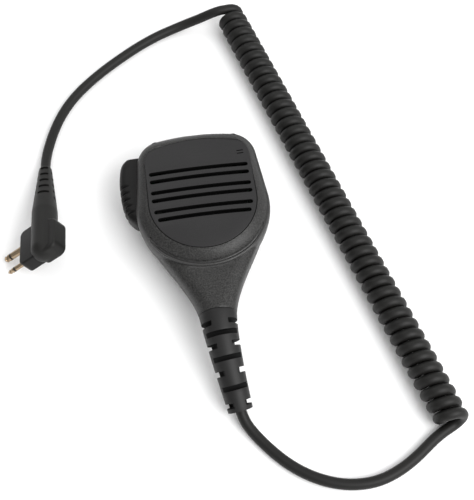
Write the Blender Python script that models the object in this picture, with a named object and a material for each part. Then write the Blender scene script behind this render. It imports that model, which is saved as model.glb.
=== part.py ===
"""Remote speaker microphone: a hand-held speaker and microphone on a curly cord with a two-pin plug.

Metres, +Z out of the grille, +Y towards the top of the microphone, talk button on -X. The origin is on
the clip's swivel axis, on the surface that the microphone lies on with its clip underneath.
"""

import math

import bmesh
import bpy
from mathutils import Matrix, Vector

MM = 0.001

# Clearances and walls
GAP = 0.3 * MM
RUNNING = 0.08 * MM
WALL = 2.4 * MM

# Housing: heights above the table
BACK_Z = 10.0 * MM
PARTING_Z = 19.0 * MM
RIM_Z = 34.0 * MM

# Housing: plan outline, a hull of circles with an arched top edge
ROUND_R = 33.0 * MM
ROUND_Y = -3.0 * MM
CORNER_R = 13.5 * MM
CORNER_X = 16.9 * MM
CORNER_Y = 23.3 * MM
TOP_Y = 38.3 * MM
ARCH_SHARE = 0.75
OUTLINE_POINTS = 48

# Neck that narrows to the strain relief
NECK_END_Y = -58.0 * MM
NECK_R = 9.1 * MM
NECK_SPREAD = 23.3 * MM
NECK_LENGTH = 58.0 * MM
NECK_POINTS = 28
NECK_STATIONS = 9

# Grille panel let into the front
PANEL_MARGIN = 6.8 * MM
PANEL_T = 2.2 * MM
PANEL_PROUD = 0.1 * MM
PANEL_LEDGE = 2.0 * MM
PANEL_CORNER_R = 7.5 * MM
PANEL_CORNER_OUT = 2.4 * MM
PANEL_CORNER_DOWN = 1.2 * MM
SLOT_PAIRS = 3
SLOT_PAIR_PITCH = 10.7 * MM
SLOT_STEP = 4.4 * MM
SLOT_TOP_Y = 14.4 * MM
SLOT_W = 1.9 * MM
SLOT_SAG = 0.6 * MM
SLOT_MARGIN = 1.6 * MM
MIC_PORT_X = 21.6 * MM
MIC_PORT_Y = 21.2 * MM
MIC_PORT_W = 3.2 * MM
MIC_PORT_H = 0.8 * MM

# Speaker behind the panel
SPEAKER_Y = 1.6 * MM
SPEAKER_R = 20.5 * MM
SPEAKER_FLANGE_T = 1.1 * MM
SPEAKER_FLANGE_W = 2.9 * MM
SPEAKER_DEPTH = 7.3 * MM
MAGNET_R = 10.5 * MM
MAGNET_T = 3.4 * MM
MESH_T = 0.4 * MM
GASKET_T = 0.7 * MM

# Circuit board and microphone capsule
BOARD_T = 1.6 * MM
BOARD_Z = 16.0 * MM
BOARD_MARGIN = 5.6 * MM
POST_R = 2.0 * MM
BOARD_POST_X = 15.0 * MM
BOARD_POST_TOP_Y = 15.0 * MM
BOARD_POST_LOW_Y = -14.0 * MM
CAPSULE_R = 2.4 * MM
CAPSULE_H = 2.4 * MM
BOOT_WALL = 0.7 * MM
MIC_SET_IN = 1.8 * MM

# Talk button
PTT_Y0 = -6.5 * MM
PTT_Y1 = 32.3 * MM
PTT_Z0 = 14.0 * MM
PTT_Z1 = 24.5 * MM
PTT_PROUD = 7.0 * MM
PTT_DEPTH = 14.1 * MM
PTT_TRAVEL = 1.2 * MM
PTT_BULGE = 2.4 * MM
PTT_END_FALL = 4.6 * MM
PTT_CREST = 2.5 * MM
PTT_TOP_POWER = 10
PTT_LOW_POWER = 5
PTT_EDGE = 2.0 * MM
PTT_GROOVES = 5
PTT_GROOVE_MID = 0.36
PTT_GROOVE_W = 1.5 * MM
PTT_GROOVE_PITCH = 3.7 * MM
PTT_GROOVE_DEPTH = 0.9 * MM
DOME_R = 2.6 * MM
DOME_T = 1.4 * MM
SWITCH_L = 4.0 * MM
SWITCH_W = 6.0 * MM
SWITCH_H = 4.4 * MM
PLUNGER_R = 1.4 * MM
PLUNGER_L = 1.4 * MM
PLUNGER_PROUD = 0.6 * MM
PTT_SWITCH_Y = 9.0 * MM

# Screws that hold the two halves together
SCREW_HEAD_R = 2.3 * MM
SCREW_HEAD_H = 1.8 * MM
SCREW_R = 1.1 * MM
SCREW_TIP_Z = 26.0 * MM
BOSS_R = 2.6 * MM
TOP_SCREW_X = 19.5 * MM
TOP_SCREW_Y = 31.6 * MM
LOW_SCREW_X = 13.0 * MM
LOW_SCREW_Y = -27.0 * MM

# Swivel and belt clip
CLIP_BASE_R = 11.0 * MM
CLIP_BASE_T = 2.5 * MM
CLIP_W = 24.0 * MM
CLIP_T = 3.0 * MM
CLIP_TIP_Y = -34.0 * MM
CLIP_THUMB_Y = 36.0 * MM
CLIP_LIP_T = 3.0 * MM
CLIP_TIP_W = 20.0 * MM
CLIP_TIP_R = 4.0 * MM
CLIP_THUMB_R = 8.0 * MM
CLIP_PIN_Y = 14.0 * MM
CLIP_PIN_Z = 5.8 * MM
CLIP_PIN_R = 1.2 * MM
CLIP_EAR_R = 2.3 * MM
CLIP_EAR_T = 3.0 * MM
CLIP_LUG_T = 2.5 * MM
THUMB_GROOVES = 4
THUMB_GROOVE_START = 4.0 * MM
THUMB_GROOVE_PITCH = 2.6 * MM
THUMB_GROOVE_W = 1.2 * MM
THUMB_GROOVE_DEPTH = 0.7 * MM
SPRING_WIRE_R = 0.5 * MM
SPRING_R = 2.0 * MM
SPRING_TURNS = 4.5
SPRING_TURN_POINTS = 10
SPRING_PITCH = 1.5 * MM
SPRING_THUMB_LEG = 9.0 * MM
SPRING_BASE_LEG = 5.0 * MM
SPRING_STOP_W = 10.0 * MM
SWIVEL_R = 1.5 * MM
SWIVEL_HEAD_R = 4.0 * MM
SWIVEL_HEAD_H = 1.4 * MM
SWIVEL_BOSS_R = 5.0 * MM
WASHER_T = 0.8 * MM

# Strain relief at the microphone end
RELIEF_SWAY = 4.6 * MM
RELIEF_REACH = 43.5 * MM
RELIEF_DROP = 12.4 * MM
RELIEF_BEND_L = 14.0 * MM
RELIEF_START_R = 9.0 * MM
RELIEF_END_R = 5.9 * MM
RELIEF_STATIONS = 7
RELIEF_SLOT_W = 2.4 * MM
RELIEF_FIRST = 7.5 * MM
RELIEF_PITCH = 5.9 * MM
RELIEF_WEB = 0.46
RELIEF_STUB_R = 4.7 * MM
RELIEF_FLANGE_R = 6.2 * MM
RELIEF_FLANGE_T = 1.8 * MM

# Cord
CORD_D = 5.2 * MM
COIL_D = 16.0 * MM
COIL_TURNS = 43.5
COIL_FAR = Vector((31.0, 130.5, 0.0)) * MM
COIL_NEAR = Vector((100.2, -121.5, 0.0)) * MM
TURN_POINTS = 8

# Cord route on the table, hand-chosen points, in millimetres
LOWER_ROUTE = (
    (7.6, -109.5, 3.4),
    (11.6, -115.6, 2.65),
    (17.0, -122.3, 2.65),
    (23.8, -129.3, 2.65),
    (31.8, -135.1, 2.65),
    (39.8, -139.1, 2.65),
    (48.5, -141.5, 2.65),
    (57.5, -142.0, 2.65),
    (67.1, -140.2, 2.65),
    (77.3, -135.6, 2.65),
    (86.5, -129.6, 2.65),
)
UPPER_ROUTE = (
    (-78.1, 53.5, 2.65),
    (-76.1, 60.0, 2.65),
    (-73.1, 68.9, 2.65),
    (-67.8, 79.7, 2.65),
    (-60.3, 90.2, 2.65),
    (-48.7, 101.3, 2.65),
    (-35.5, 111.3, 2.65),
    (-21.9, 120.2, 2.65),
    (-9.9, 126.4, 2.65),
    (1.5, 130.0, 3.6),
    (11.0, 130.6, 7.0),
    (18.6, 129.6, 11.0),
)

# Two-pin plug on the far end: handle, base block and pins
PLUG_TAIL = Vector((-78.8, 42.8, 5.0)) * MM
PLUG_NOSE = Vector((-79.1, -13.0, 20.8)) * MM
PLUG_PIN_TILT = math.radians(34.0)
HANDLE_TAIL_R = 3.4 * MM
HANDLE_R = 6.5 * MM
HANDLE_SHOULDER = 25.0 * MM
HANDLE_SLOTS = 5
HANDLE_SLOT_START = 2.4 * MM
HANDLE_SLOT_PITCH = 5.0 * MM
HANDLE_SLOT_W = 1.7 * MM
HANDLE_SLOT_DEPTH = 1.4 * MM
HANDLE_SLOT_SPAN = 0.52
HANDLE_NOTCH_DEPTH = 0.7 * MM
HEEL_BACK = -9.2 * MM
HEEL_LOW_Y = -14.4 * MM
HEEL_HIGH_Y = 4.6 * MM
BASE_FRONT = 14.3 * MM
BASE_ROOT = -4.0 * MM
BASE_LOW_Y = -19.0 * MM
BASE_HIGH_Y = 3.5 * MM
BASE_T = 7.7 * MM
BASE_DROP = 1.0 * MM
BASE_CORNER = 3.2 * MM
BASE_EDGE = 0.9 * MM
HEEL_OVER = 0.5 * MM
PIN_MIDDLE_Y = -6.2 * MM
PIN_SPACING = 10.4 * MM
LARGE_PIN_R = 1.75 * MM
LARGE_PIN_L = 14.0 * MM
SMALL_PIN_R = 1.25 * MM
SMALL_PIN_L = 11.0 * MM
PIN_RING_L = 0.8 * MM
PIN_TIP_L = 4.4 * MM
PIN_ROOT = 3.0 * MM

# Heights that follow from the sizes above
PANEL_TOP_Z = RIM_Z - PANEL_PROUD
PANEL_Z = PANEL_TOP_Z - PANEL_T
LEDGE_Z = PANEL_Z - GAP
CEILING_Z = LEDGE_Z - 1.8 * MM
FLOOR_Z = BACK_Z + 2.0 * MM
MESH_Z = PANEL_Z - GAP - MESH_T
GASKET_Z = MESH_Z - GAP - GASKET_T
SPEAKER_TOP_Z = GASKET_Z - GAP
SPEAKER_Z = SPEAKER_TOP_Z - SPEAKER_DEPTH
MAGNET_Z = SPEAKER_Z - GAP - MAGNET_T
BOARD_TOP_Z = BOARD_Z + BOARD_T
CLIP_BASE_Z = BACK_Z - GAP - CLIP_BASE_T
WASHER_Z = CLIP_BASE_Z - GAP - WASHER_T
SWIVEL_HEAD_Z = WASHER_Z - GAP - SWIVEL_HEAD_H
COIL_AXIS_Z = COIL_D / 2 + 0.05 * MM
COIL_R = (COIL_D - CORD_D) / 2
PTT_OUTER_X = -ROUND_R - PTT_PROUD
PTT_INNER_X = PTT_OUTER_X + PTT_DEPTH
RELIEF_END = Vector((RELIEF_SWAY, NECK_END_Y - RELIEF_REACH, PARTING_Z - RELIEF_DROP))

BLACK = (0.045, 0.044, 0.044)
SOFT_BLACK = (0.03, 0.03, 0.031)
BOARD_GREEN = (0.02, 0.12, 0.05)
STEEL = (0.55, 0.55, 0.57)
GOLD = (0.72, 0.58, 0.33)


def clear_scene():
    for item in list(bpy.data.objects):
        bpy.data.objects.remove(item, do_unlink=True)


def finish(name, colour, roughness, metallic=0.0):
    material = bpy.data.materials.new(name)
    material.use_nodes = True
    shader = material.node_tree.nodes["Principled BSDF"]
    shader.inputs["Base Color"].default_value = (*colour, 1.0)
    shader.inputs["Roughness"].default_value = roughness
    shader.inputs["Metallic"].default_value = metallic
    return material


def add_mesh(name, bm, material=None, matrix=None):
    """An object from a bmesh, closed and with its faces turned outwards."""
    bmesh.ops.recalc_face_normals(bm, faces=bm.faces)
    mesh = bpy.data.meshes.new(name)
    bm.to_mesh(mesh)
    bm.free()
    mesh.shade_smooth()
    mesh.set_sharp_from_angle(angle=math.radians(35))
    item = bpy.data.objects.new(name, mesh)
    bpy.context.scene.collection.objects.link(item)
    if material:
        mesh.materials.append(material)
    if matrix:
        item.matrix_world = matrix
    return item


def add_cutter(name, bm, matrix=None):
    item = add_mesh(name, bm, matrix=matrix)
    item.hide_render = True
    item.display_type = "WIRE"
    return item


def combine(target, tool, operation):
    step = target.modifiers.new(tool.name, "BOOLEAN")
    step.operation = operation
    step.solver = "EXACT"
    step.object = tool


def cut(target, tool):
    combine(target, tool, "DIFFERENCE")


def join(target, tool):
    combine(target, tool, "UNION")


def skin(rings):
    """A closed solid through rings of equally many points, capped at both ends."""
    bm = bmesh.new()
    loops = [[bm.verts.new(p) for p in ring] for ring in rings]
    for low, high in zip(loops, loops[1:]):
        for i in range(len(low)):
            j = (i + 1) % len(low)
            bm.faces.new((low[i], low[j], high[j], high[i]))
    bm.faces.new(reversed(loops[0]))
    bm.faces.new(loops[-1])
    return bm


def add_block(bm, low, high):
    size = Vector(high) - Vector(low)
    centre = (Vector(high) + Vector(low)) / 2
    place = Matrix.Translation(centre) @ Matrix.Diagonal((*size, 1.0))
    bmesh.ops.create_cube(bm, size=1.0, matrix=place)


def block(low, high):
    bm = bmesh.new()
    add_block(bm, low, high)
    return bm


def circle(radius, count, z=0.0, x=0.0, y=0.0):
    step = math.tau / count
    turns = [(math.cos(i * step), math.sin(i * step)) for i in range(count)]
    return [Vector((x + radius * c, y + radius * s, z)) for c, s in turns]


def add_rod(bm, x, y, z0, z1, radius, count=14):
    depth = z1 - z0
    place = Matrix.Translation((x, y, (z0 + z1) / 2))
    size = {"radius1": radius, "radius2": radius, "depth": depth}
    bmesh.ops.create_cone(bm, cap_ends=True, segments=count, matrix=place, **size)


def rod(x, y, z0, z1, radius, count=16):
    bm = bmesh.new()
    add_rod(bm, x, y, z0, z1, radius, count)
    return bm


def turned(profile, count=32, x=0.0, y=0.0):
    """A solid of revolution about Z through (radius, z) points, from one end of the axis to the other."""
    bm = bmesh.new()
    loops = []
    for radius, z in profile:
        if radius == 0.0:
            loops.append([bm.verts.new((x, y, z))])
        else:
            loops.append([bm.verts.new(p) for p in circle(radius, count, z, x, y)])
    for low, high in zip(loops, loops[1:]):
        for i in range(count):
            j = (i + 1) % count
            corners = [low[i % len(low)], low[j % len(low)], high[j % len(high)], high[i % len(high)]]
            bm.faces.new(list(dict.fromkeys(corners)))
    return bm


def ring(profile, count=32, x=0.0, y=0.0):
    """A ring of revolution about Z from a closed (radius, z) profile."""
    bm = bmesh.new()
    loops = [[bm.verts.new(p) for p in circle(r, count, z, x, y)] for r, z in profile]
    for low, high in zip(loops, loops[1:] + loops[:1]):
        for i in range(count):
            j = (i + 1) % count
            bm.faces.new((low[i], low[j], high[j], high[i]))
    return bm


def band(outer, inner, low, high):
    """The closed profile of a flat ring."""
    return ((outer, low), (outer, high), (inner, high), (inner, low))


def hull_outline(circles, inset, z, count=OUTLINE_POINTS):
    """Points of the hull of some (x, y, radius) circles, each shrunk by inset, at height z."""
    points = []
    for i in range(count):
        angle = math.tau * (i + 0.5) / count
        normal = Vector((math.cos(angle), math.sin(angle)))
        x, y, r = max(circles, key=lambda c: c[0] * normal.x + c[1] * normal.y + c[2])
        points.append(Vector((x + (r - inset) * normal.x, y + (r - inset) * normal.y, z)))
    return points


def arched_circles(round_r, corner, corner_r, top_y):
    """Circles whose hull is round below, with two upper corners and an arched edge between them."""
    x, y = corner
    rise = top_y - y - corner_r
    shoulder_y = y + ARCH_SHARE * rise
    return (
        (0.0, ROUND_Y, round_r),
        (x, y, corner_r),
        (-x, y, corner_r),
        (x / 2, shoulder_y, corner_r),
        (-x / 2, shoulder_y, corner_r),
        (0.0, y + rise, corner_r),
    )


HOUSING_CIRCLES = arched_circles(ROUND_R, (CORNER_X, CORNER_Y), CORNER_R, TOP_Y)
PANEL_CORNER_X = CORNER_X + CORNER_R - PANEL_MARGIN + PANEL_CORNER_OUT - PANEL_CORNER_R
PANEL_CORNER_Y = CORNER_Y + CORNER_R - PANEL_MARGIN - PANEL_CORNER_DOWN - PANEL_CORNER_R
PANEL_CIRCLES = arched_circles(
    ROUND_R - PANEL_MARGIN, (PANEL_CORNER_X, PANEL_CORNER_Y), PANEL_CORNER_R, TOP_Y - PANEL_MARGIN)


def lift(share):
    """A height on the front half, from the parting line at 0 to the rim at 1."""
    return PARTING_Z + share * (RIM_Z - PARTING_Z)


def outer_rings():
    """The housing's outer form as (height, inset) rings: rounded back edge, full side, sloping bezel."""
    depth = PARTING_Z - BACK_Z
    levels = (
        (BACK_Z, 5.0 * MM),
        (BACK_Z + 0.12 * depth, 3.0 * MM),
        (BACK_Z + 0.36 * depth, 1.4 * MM),
        (PARTING_Z, 0.4 * MM),
        (lift(0.33), 0.0),
        (lift(0.60), 0.7 * MM),
        (lift(0.78), 2.1 * MM),
        (lift(0.92), 4.4 * MM),
        (RIM_Z, PANEL_MARGIN - 0.2 * MM),
    )
    return [hull_outline(HOUSING_CIRCLES, inset, z) for z, inset in levels]


def inner_rings():
    """The hollow inside the housing, one wall in from the outer form."""
    depth = PARTING_Z - FLOOR_Z
    levels = (
        (FLOOR_Z, 4.2 * MM + WALL),
        (FLOOR_Z + 0.3 * depth, 1.7 * MM + WALL),
        (PARTING_Z, 0.4 * MM + WALL),
        (lift(0.33), WALL),
        (lift(0.55), 0.9 * MM + WALL),
        (CEILING_Z, 4.0 * MM + WALL),
    )
    return [hull_outline(HOUSING_CIRCLES, inset, z) for z, inset in levels]


def neck_ring(y, half_width, half_height, power):
    """One upright section of the neck, a rounded box that becomes a circle where power is 2."""
    points = []
    for i in range(NECK_POINTS):
        angle = math.tau * (i + 0.5) / NECK_POINTS
        c, s = math.cos(angle), math.sin(angle)
        x = half_width * math.copysign(abs(c) ** (2 / power), c)
        z = half_height * math.copysign(abs(s) ** (2 / power), s)
        points.append(Vector((x, y, PARTING_Z + z)))
    return points


def neck_form(inset, end_y):
    """The flared neck from end_y up into the housing, shrunk by inset."""
    rings = []
    for i in range(NECK_STATIONS):
        y = end_y + (NECK_END_Y + NECK_LENGTH - end_y) * i / (NECK_STATIONS - 1)
        share = (y - NECK_END_Y) / NECK_LENGTH
        flare = share * (0.5 + 2.0 * share - 1.5 * share ** 2)
        width = NECK_R + NECK_SPREAD * min(flare, 1.0)
        power = 2.0 + 1.6 * min(1.0, share * 1.6)
        rings.append(neck_ring(y, width - inset, NECK_R - inset, power))
    return skin(rings)


SCREW_PLACES = (
    (-TOP_SCREW_X, TOP_SCREW_Y),
    (TOP_SCREW_X, TOP_SCREW_Y),
    (-LOW_SCREW_X, LOW_SCREW_Y),
    (LOW_SCREW_X, LOW_SCREW_Y),
)
PTT_SWITCH_Z = BOARD_TOP_Z + GAP + SWITCH_H / 2


def rods_at_screws(name, z0, z1, radius):
    bm = bmesh.new()
    for x, y in SCREW_PLACES:
        add_rod(bm, x, y, z0, z1, radius)
    return add_cutter(name, bm)


def housing_half(name, upper):
    """One half of the housing: the outer form cut at the parting line and hollowed."""
    half = add_mesh(name, skin(outer_rings()), finish(name, BLACK, 0.55))
    join(half, add_cutter(f"{name}_neck_form", neck_form(0.0, NECK_END_Y)))
    far = 0.2
    away = (-far, PARTING_Z + GAP / 2) if upper else (PARTING_Z - GAP / 2, far)
    cut(half, add_cutter(f"{name}_other_side", block((-far, -far, away[0]), (far, far, away[1]))))
    cut(half, add_cutter(f"{name}_hollow", skin(inner_rings())))
    cut(half, add_cutter(f"{name}_neck_hollow", neck_form(WALL, NECK_END_Y + WALL)))
    return half


def cut_shared_openings(half):
    """The talk button's window and the strain relief's hole, which both halves share."""
    side = PTT_OUTER_X - WALL
    low = (side, PTT_Y0 - GAP, PTT_Z0 - GAP)
    high = (PTT_INNER_X + PTT_TRAVEL, PTT_Y1 + GAP, PTT_Z1 + GAP)
    cut(half, add_cutter(f"{half.name}_button_window", block(low, high)))
    turn = Matrix.Translation((0, NECK_END_Y + WALL / 2, PARTING_Z)) @ Matrix.Rotation(math.pi / 2, 4, "X")
    hole = rod(0, 0, -WALL, WALL, RELIEF_STUB_R + GAP, 24)
    cut(half, add_cutter(f"{half.name}_relief_hole", hole, turn))


def make_front_housing():
    half = housing_half("front_housing", True)
    join(half, rods_at_screws("front_bosses", PARTING_Z + GAP, lift(0.82), BOSS_R))
    cut(half, rods_at_screws("front_pilots", PARTING_Z - GAP, SCREW_TIP_Z + GAP, SCREW_R + GAP))
    recess = [hull_outline(PANEL_CIRCLES, -GAP, z) for z in (LEDGE_Z, RIM_Z + WALL)]
    cut(half, add_cutter("panel_recess", skin(recess)))
    opening = [hull_outline(PANEL_CIRCLES, PANEL_LEDGE, z) for z in (CEILING_Z - WALL, LEDGE_Z + GAP)]
    cut(half, add_cutter("panel_opening", skin(opening)))
    cut_shared_openings(half)


def make_rear_housing():
    half = housing_half("rear_housing", False)
    posts = bmesh.new()
    for x, y in SCREW_PLACES:
        add_rod(posts, x, y, FLOOR_Z - 1.0 * MM, PARTING_Z - GAP, BOSS_R + 0.6 * MM)
    for x, y in BOARD_POSTS:
        add_rod(posts, x, y, FLOOR_Z - 1.0 * MM, BOARD_Z - GAP, POST_R)
    add_rod(posts, 0, 0, FLOOR_Z - 1.0 * MM, BOARD_Z - 2 * GAP, SWIVEL_BOSS_R, 28)
    join(half, add_cutter("rear_posts", posts))
    holes = bmesh.new()
    for x, y in SCREW_PLACES:
        add_rod(holes, x, y, BACK_Z - WALL, PARTING_Z + WALL, SCREW_R + GAP)
    add_rod(holes, 0, 0, BACK_Z - WALL, BOARD_Z, SWIVEL_R + GAP)
    cut(half, add_cutter("rear_holes", holes))
    head_room = SCREW_HEAD_H + 3 * GAP
    cut(half, rods_at_screws("screw_head_wells", BACK_Z - WALL, BACK_Z + head_room, SCREW_HEAD_R + GAP))
    cut_shared_openings(half)


def slot_outline(y, half_length, z):
    """One arched grille slot with rounded ends."""
    radius = (half_length ** 2 + SLOT_SAG ** 2) / (2 * SLOT_SAG)
    reach = math.asin(half_length / radius)
    centre = Vector((0.0, y - radius))
    points = []
    steps = 6
    for i in range(steps + 1):
        angle = reach * (1 - 2 * i / steps)
        points.append((angle, radius + SLOT_W / 2))
    for i in range(steps + 1):
        angle = reach * (2 * i / steps - 1)
        points.append((angle, radius - SLOT_W / 2))
    tip = SLOT_W / 2 / radius
    points.insert(steps + 1, (-reach - tip, radius))
    points.append((reach + tip, radius))
    return [Vector((centre.x + r * math.sin(a), centre.y + r * math.cos(a), z)) for a, r in points]


def panel_half_width(y):
    """Half the panel's width at a height y on it, read off its outline."""
    points = hull_outline(PANEL_CIRCLES, 0.0, 0.0)
    widths = []
    for a, b in zip(points, points[1:] + points[:1]):
        if min(a.y, b.y) <= y < max(a.y, b.y):
            widths.append(a.x + (b.x - a.x) * (y - a.y) / (b.y - a.y))
    return max(widths)


def make_speaker_grille():
    rings = [hull_outline(PANEL_CIRCLES, inset, z) for z, inset in
             ((PANEL_Z, 0.0), (PANEL_TOP_Z - 0.4 * MM, 0.0), (PANEL_TOP_Z, 0.4 * MM))]
    panel = add_mesh("speaker_grille", skin(rings), finish("speaker_grille", BLACK, 0.5))
    for pair in range(SLOT_PAIRS):
        for row in range(2):
            y = SLOT_TOP_Y - pair * SLOT_PAIR_PITCH - row * SLOT_STEP
            room = min(panel_half_width(y), panel_half_width(y - SLOT_SAG - SLOT_W / 2))
            half_length = room - SLOT_MARGIN - SLOT_W / 2
            levels = [slot_outline(y, half_length, z) for z in (PANEL_Z - WALL, PANEL_TOP_Z + WALL)]
            cut(panel, add_cutter(f"grille_slot_{pair}_{row}", skin(levels)))
    port = bmesh.new()
    for row in (-1, 1):
        y = MIC_PORT_Y + row * MIC_PORT_H
        half = MIC_PORT_H * 0.32
        add_block(port, (MIC_PORT_X - MIC_PORT_W / 2, y - half, PANEL_Z - WALL),
                  (MIC_PORT_X + MIC_PORT_W / 2, y + half, PANEL_TOP_Z + WALL))
    cut(panel, add_cutter("mic_port", port))


def make_speaker():
    mesh = rod(0, SPEAKER_Y, MESH_Z, MESH_Z + MESH_T, SPEAKER_R + 1.2 * MM, 40)
    add_mesh("dust_mesh", mesh, finish("dust_mesh", SOFT_BLACK, 0.9))
    inner = SPEAKER_R - SPEAKER_FLANGE_W
    gasket = ring(band(SPEAKER_R, inner, GASKET_Z, GASKET_Z + GASKET_T), 32, 0, SPEAKER_Y)
    add_mesh("speaker_gasket", gasket, finish("speaker_gasket", SOFT_BLACK, 0.9))
    wall = 1.0 * MM
    basket_r = MAGNET_R - 0.5 * MM
    frame = (
        (0.0, SPEAKER_Z),
        (basket_r, SPEAKER_Z),
        (basket_r, SPEAKER_Z + wall),
        (SPEAKER_R - 2.0 * MM, SPEAKER_TOP_Z - SPEAKER_FLANGE_T),
        (SPEAKER_R, SPEAKER_TOP_Z - SPEAKER_FLANGE_T),
        (SPEAKER_R, SPEAKER_TOP_Z),
        (inner, SPEAKER_TOP_Z),
        (inner, SPEAKER_TOP_Z - SPEAKER_FLANGE_T + GAP),
        (basket_r - wall, SPEAKER_Z + wall),
        (0.0, SPEAKER_Z + wall),
    )
    add_mesh("speaker_frame", turned(frame, 32, 0, SPEAKER_Y), finish("speaker_frame", STEEL, 0.4, 1.0))
    rim_z = SPEAKER_TOP_Z
    throat_z = SPEAKER_Z + wall + 1.6 * MM
    cone = (
        (0.0, throat_z + 0.9 * MM),
        (5.0 * MM, throat_z),
        (7.0 * MM, throat_z),
        (inner - GAP, rim_z - 0.5 * MM),
        (inner - GAP, rim_z),
        (7.4 * MM, throat_z + 0.7 * MM),
        (4.0 * MM, throat_z + 1.7 * MM),
        (0.0, throat_z + 2.2 * MM),
    )
    add_mesh("speaker_cone", turned(cone, 24, 0, SPEAKER_Y), finish("speaker_cone", SOFT_BLACK, 0.8))
    magnet = rod(0, SPEAKER_Y, MAGNET_Z, MAGNET_Z + MAGNET_T, MAGNET_R, 32)
    add_mesh("speaker_magnet", magnet, finish("speaker_magnet", STEEL, 0.45, 1.0))


BOARD_POSTS = (
    (-BOARD_POST_X, BOARD_POST_TOP_Y),
    (BOARD_POST_X, BOARD_POST_TOP_Y),
    (-BOARD_POST_X, BOARD_POST_LOW_Y),
    (BOARD_POST_X, BOARD_POST_LOW_Y),
)


def make_circuit_board():
    rings = [hull_outline(HOUSING_CIRCLES, BOARD_MARGIN, z) for z in (BOARD_Z, BOARD_TOP_Z)]
    board = add_mesh("circuit_board", skin(rings), finish("circuit_board", BOARD_GREEN, 0.5))
    notch_x = PTT_INNER_X + PTT_TRAVEL + GAP
    notch = block((-ROUND_R, PTT_Y0 - WALL, BOARD_Z - WALL), (notch_x, PTT_Y1 + 2 * WALL, BOARD_TOP_Z + WALL))
    cut(board, add_cutter("board_notch", notch))
    cut(board, rods_at_screws("board_reliefs", BOARD_Z - WALL, BOARD_TOP_Z + WALL, BOSS_R + 1.2 * MM))


def make_microphone():
    boot_r = CAPSULE_R + GAP + BOOT_WALL
    boot_top = CEILING_Z - GAP
    boot_bottom = boot_top - CAPSULE_H - GAP
    bore = CAPSULE_R + GAP
    boot = band(boot_r, bore, boot_bottom, boot_top)
    place = (MIC_PORT_X - MIC_SET_IN, MIC_PORT_Y - MIC_SET_IN)
    add_mesh("mic_boot", ring(boot, 24, *place), finish("mic_boot", SOFT_BLACK, 0.9))
    capsule = rod(*place, boot_bottom, boot_bottom + CAPSULE_H, CAPSULE_R, 24)
    add_mesh("mic_capsule", capsule, finish("mic_capsule", STEEL, 0.35, 1.0))


def ptt_outline(z, inset):
    """The talk button seen from the front: a long outer curve and a straight inner face."""
    mid = (PTT_Y0 + PTT_Y1) / 2 + PTT_CREST
    points = []
    steps = 14
    for i in range(steps + 1):
        y = PTT_Y1 + (PTT_Y0 - PTT_Y1) * i / steps
        span, power = (PTT_Y1 - mid, PTT_TOP_POWER) if y > mid else (mid - PTT_Y0, PTT_LOW_POWER)
        reach = abs(y - mid) / span
        fall = PTT_BULGE * reach ** 2 + PTT_END_FALL * reach ** power
        x = PTT_OUTER_X + fall + inset
        points.append(Vector((x, min(max(y, PTT_Y0 + inset), PTT_Y1 - inset), z)))
    points.append(Vector((PTT_INNER_X, PTT_Y0 + inset, z)))
    points.append(Vector((PTT_INNER_X, PTT_Y1 - inset, z)))
    return points


def make_talk_button():
    soft = 0.35 * PTT_EDGE
    levels = ((PTT_Z0, PTT_EDGE), (PTT_Z0 + soft, soft), (PTT_Z0 + PTT_EDGE, 0.0),
              (PTT_Z1 - PTT_EDGE, 0.0), (PTT_Z1 - soft, soft), (PTT_Z1, PTT_EDGE))
    rings = [ptt_outline(z, inset) for z, inset in levels]
    button = add_mesh("ptt_button", skin(rings), finish("ptt_button", SOFT_BLACK, 0.6))
    grooves = bmesh.new()
    mid = PTT_Y0 + PTT_GROOVE_MID * (PTT_Y1 - PTT_Y0)
    crest = (PTT_Y0 + PTT_Y1) / 2 + PTT_CREST
    for i in range(PTT_GROOVES):
        y = mid + (i - (PTT_GROOVES - 1) / 2) * PTT_GROOVE_PITCH
        reach = (crest - y) / (crest - PTT_Y0)
        dip = PTT_BULGE * reach ** 2 + PTT_END_FALL * max(reach, 0.0) ** PTT_LOW_POWER
        low = (PTT_OUTER_X - WALL, y - PTT_GROOVE_W / 2, PTT_Z0 + PTT_EDGE)
        deep = PTT_OUTER_X + dip + PTT_GROOVE_DEPTH
        add_block(grooves, low, (deep, y + PTT_GROOVE_W / 2, PTT_Z1 + WALL))
    cut(button, add_cutter("ptt_grooves", grooves))
    turn = Matrix.Rotation(math.pi / 2, 4, "Y")
    dome_x = PTT_INNER_X + GAP
    place = Matrix.Translation((dome_x, PTT_SWITCH_Y, PTT_SWITCH_Z)) @ turn
    dome = ((0.0, 0.0), (DOME_R, 0.0), (0.9 * DOME_R, 0.6 * DOME_T), (0.55 * DOME_R, DOME_T), (0.0, DOME_T))
    add_mesh("ptt_dome", turned(dome, 20), finish("ptt_dome", SOFT_BLACK, 0.8), place)
    plunger_x = dome_x + DOME_T + GAP
    place = Matrix.Translation((plunger_x, PTT_SWITCH_Y, PTT_SWITCH_Z)) @ turn
    add_mesh("ptt_plunger", rod(0, 0, 0, PLUNGER_L, PLUNGER_R, 16), finish("ptt_plunger", BLACK, 0.5), place)
    body_x = plunger_x + PLUNGER_PROUD
    low = (body_x, PTT_SWITCH_Y - SWITCH_W / 2, BOARD_TOP_Z + GAP)
    high = (body_x + SWITCH_L, PTT_SWITCH_Y + SWITCH_W / 2, BOARD_TOP_Z + GAP + SWITCH_H)
    switch = add_mesh("ptt_switch", block(low, high), finish("ptt_switch", BLACK, 0.5))
    place = Matrix.Translation((plunger_x, PTT_SWITCH_Y, PTT_SWITCH_Z)) @ turn
    bore = rod(0, 0, 0, PLUNGER_L + PTT_TRAVEL / 2, PLUNGER_R + 0.2 * MM, 16)
    cut(switch, add_cutter("ptt_switch_bore", bore, place))


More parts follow.
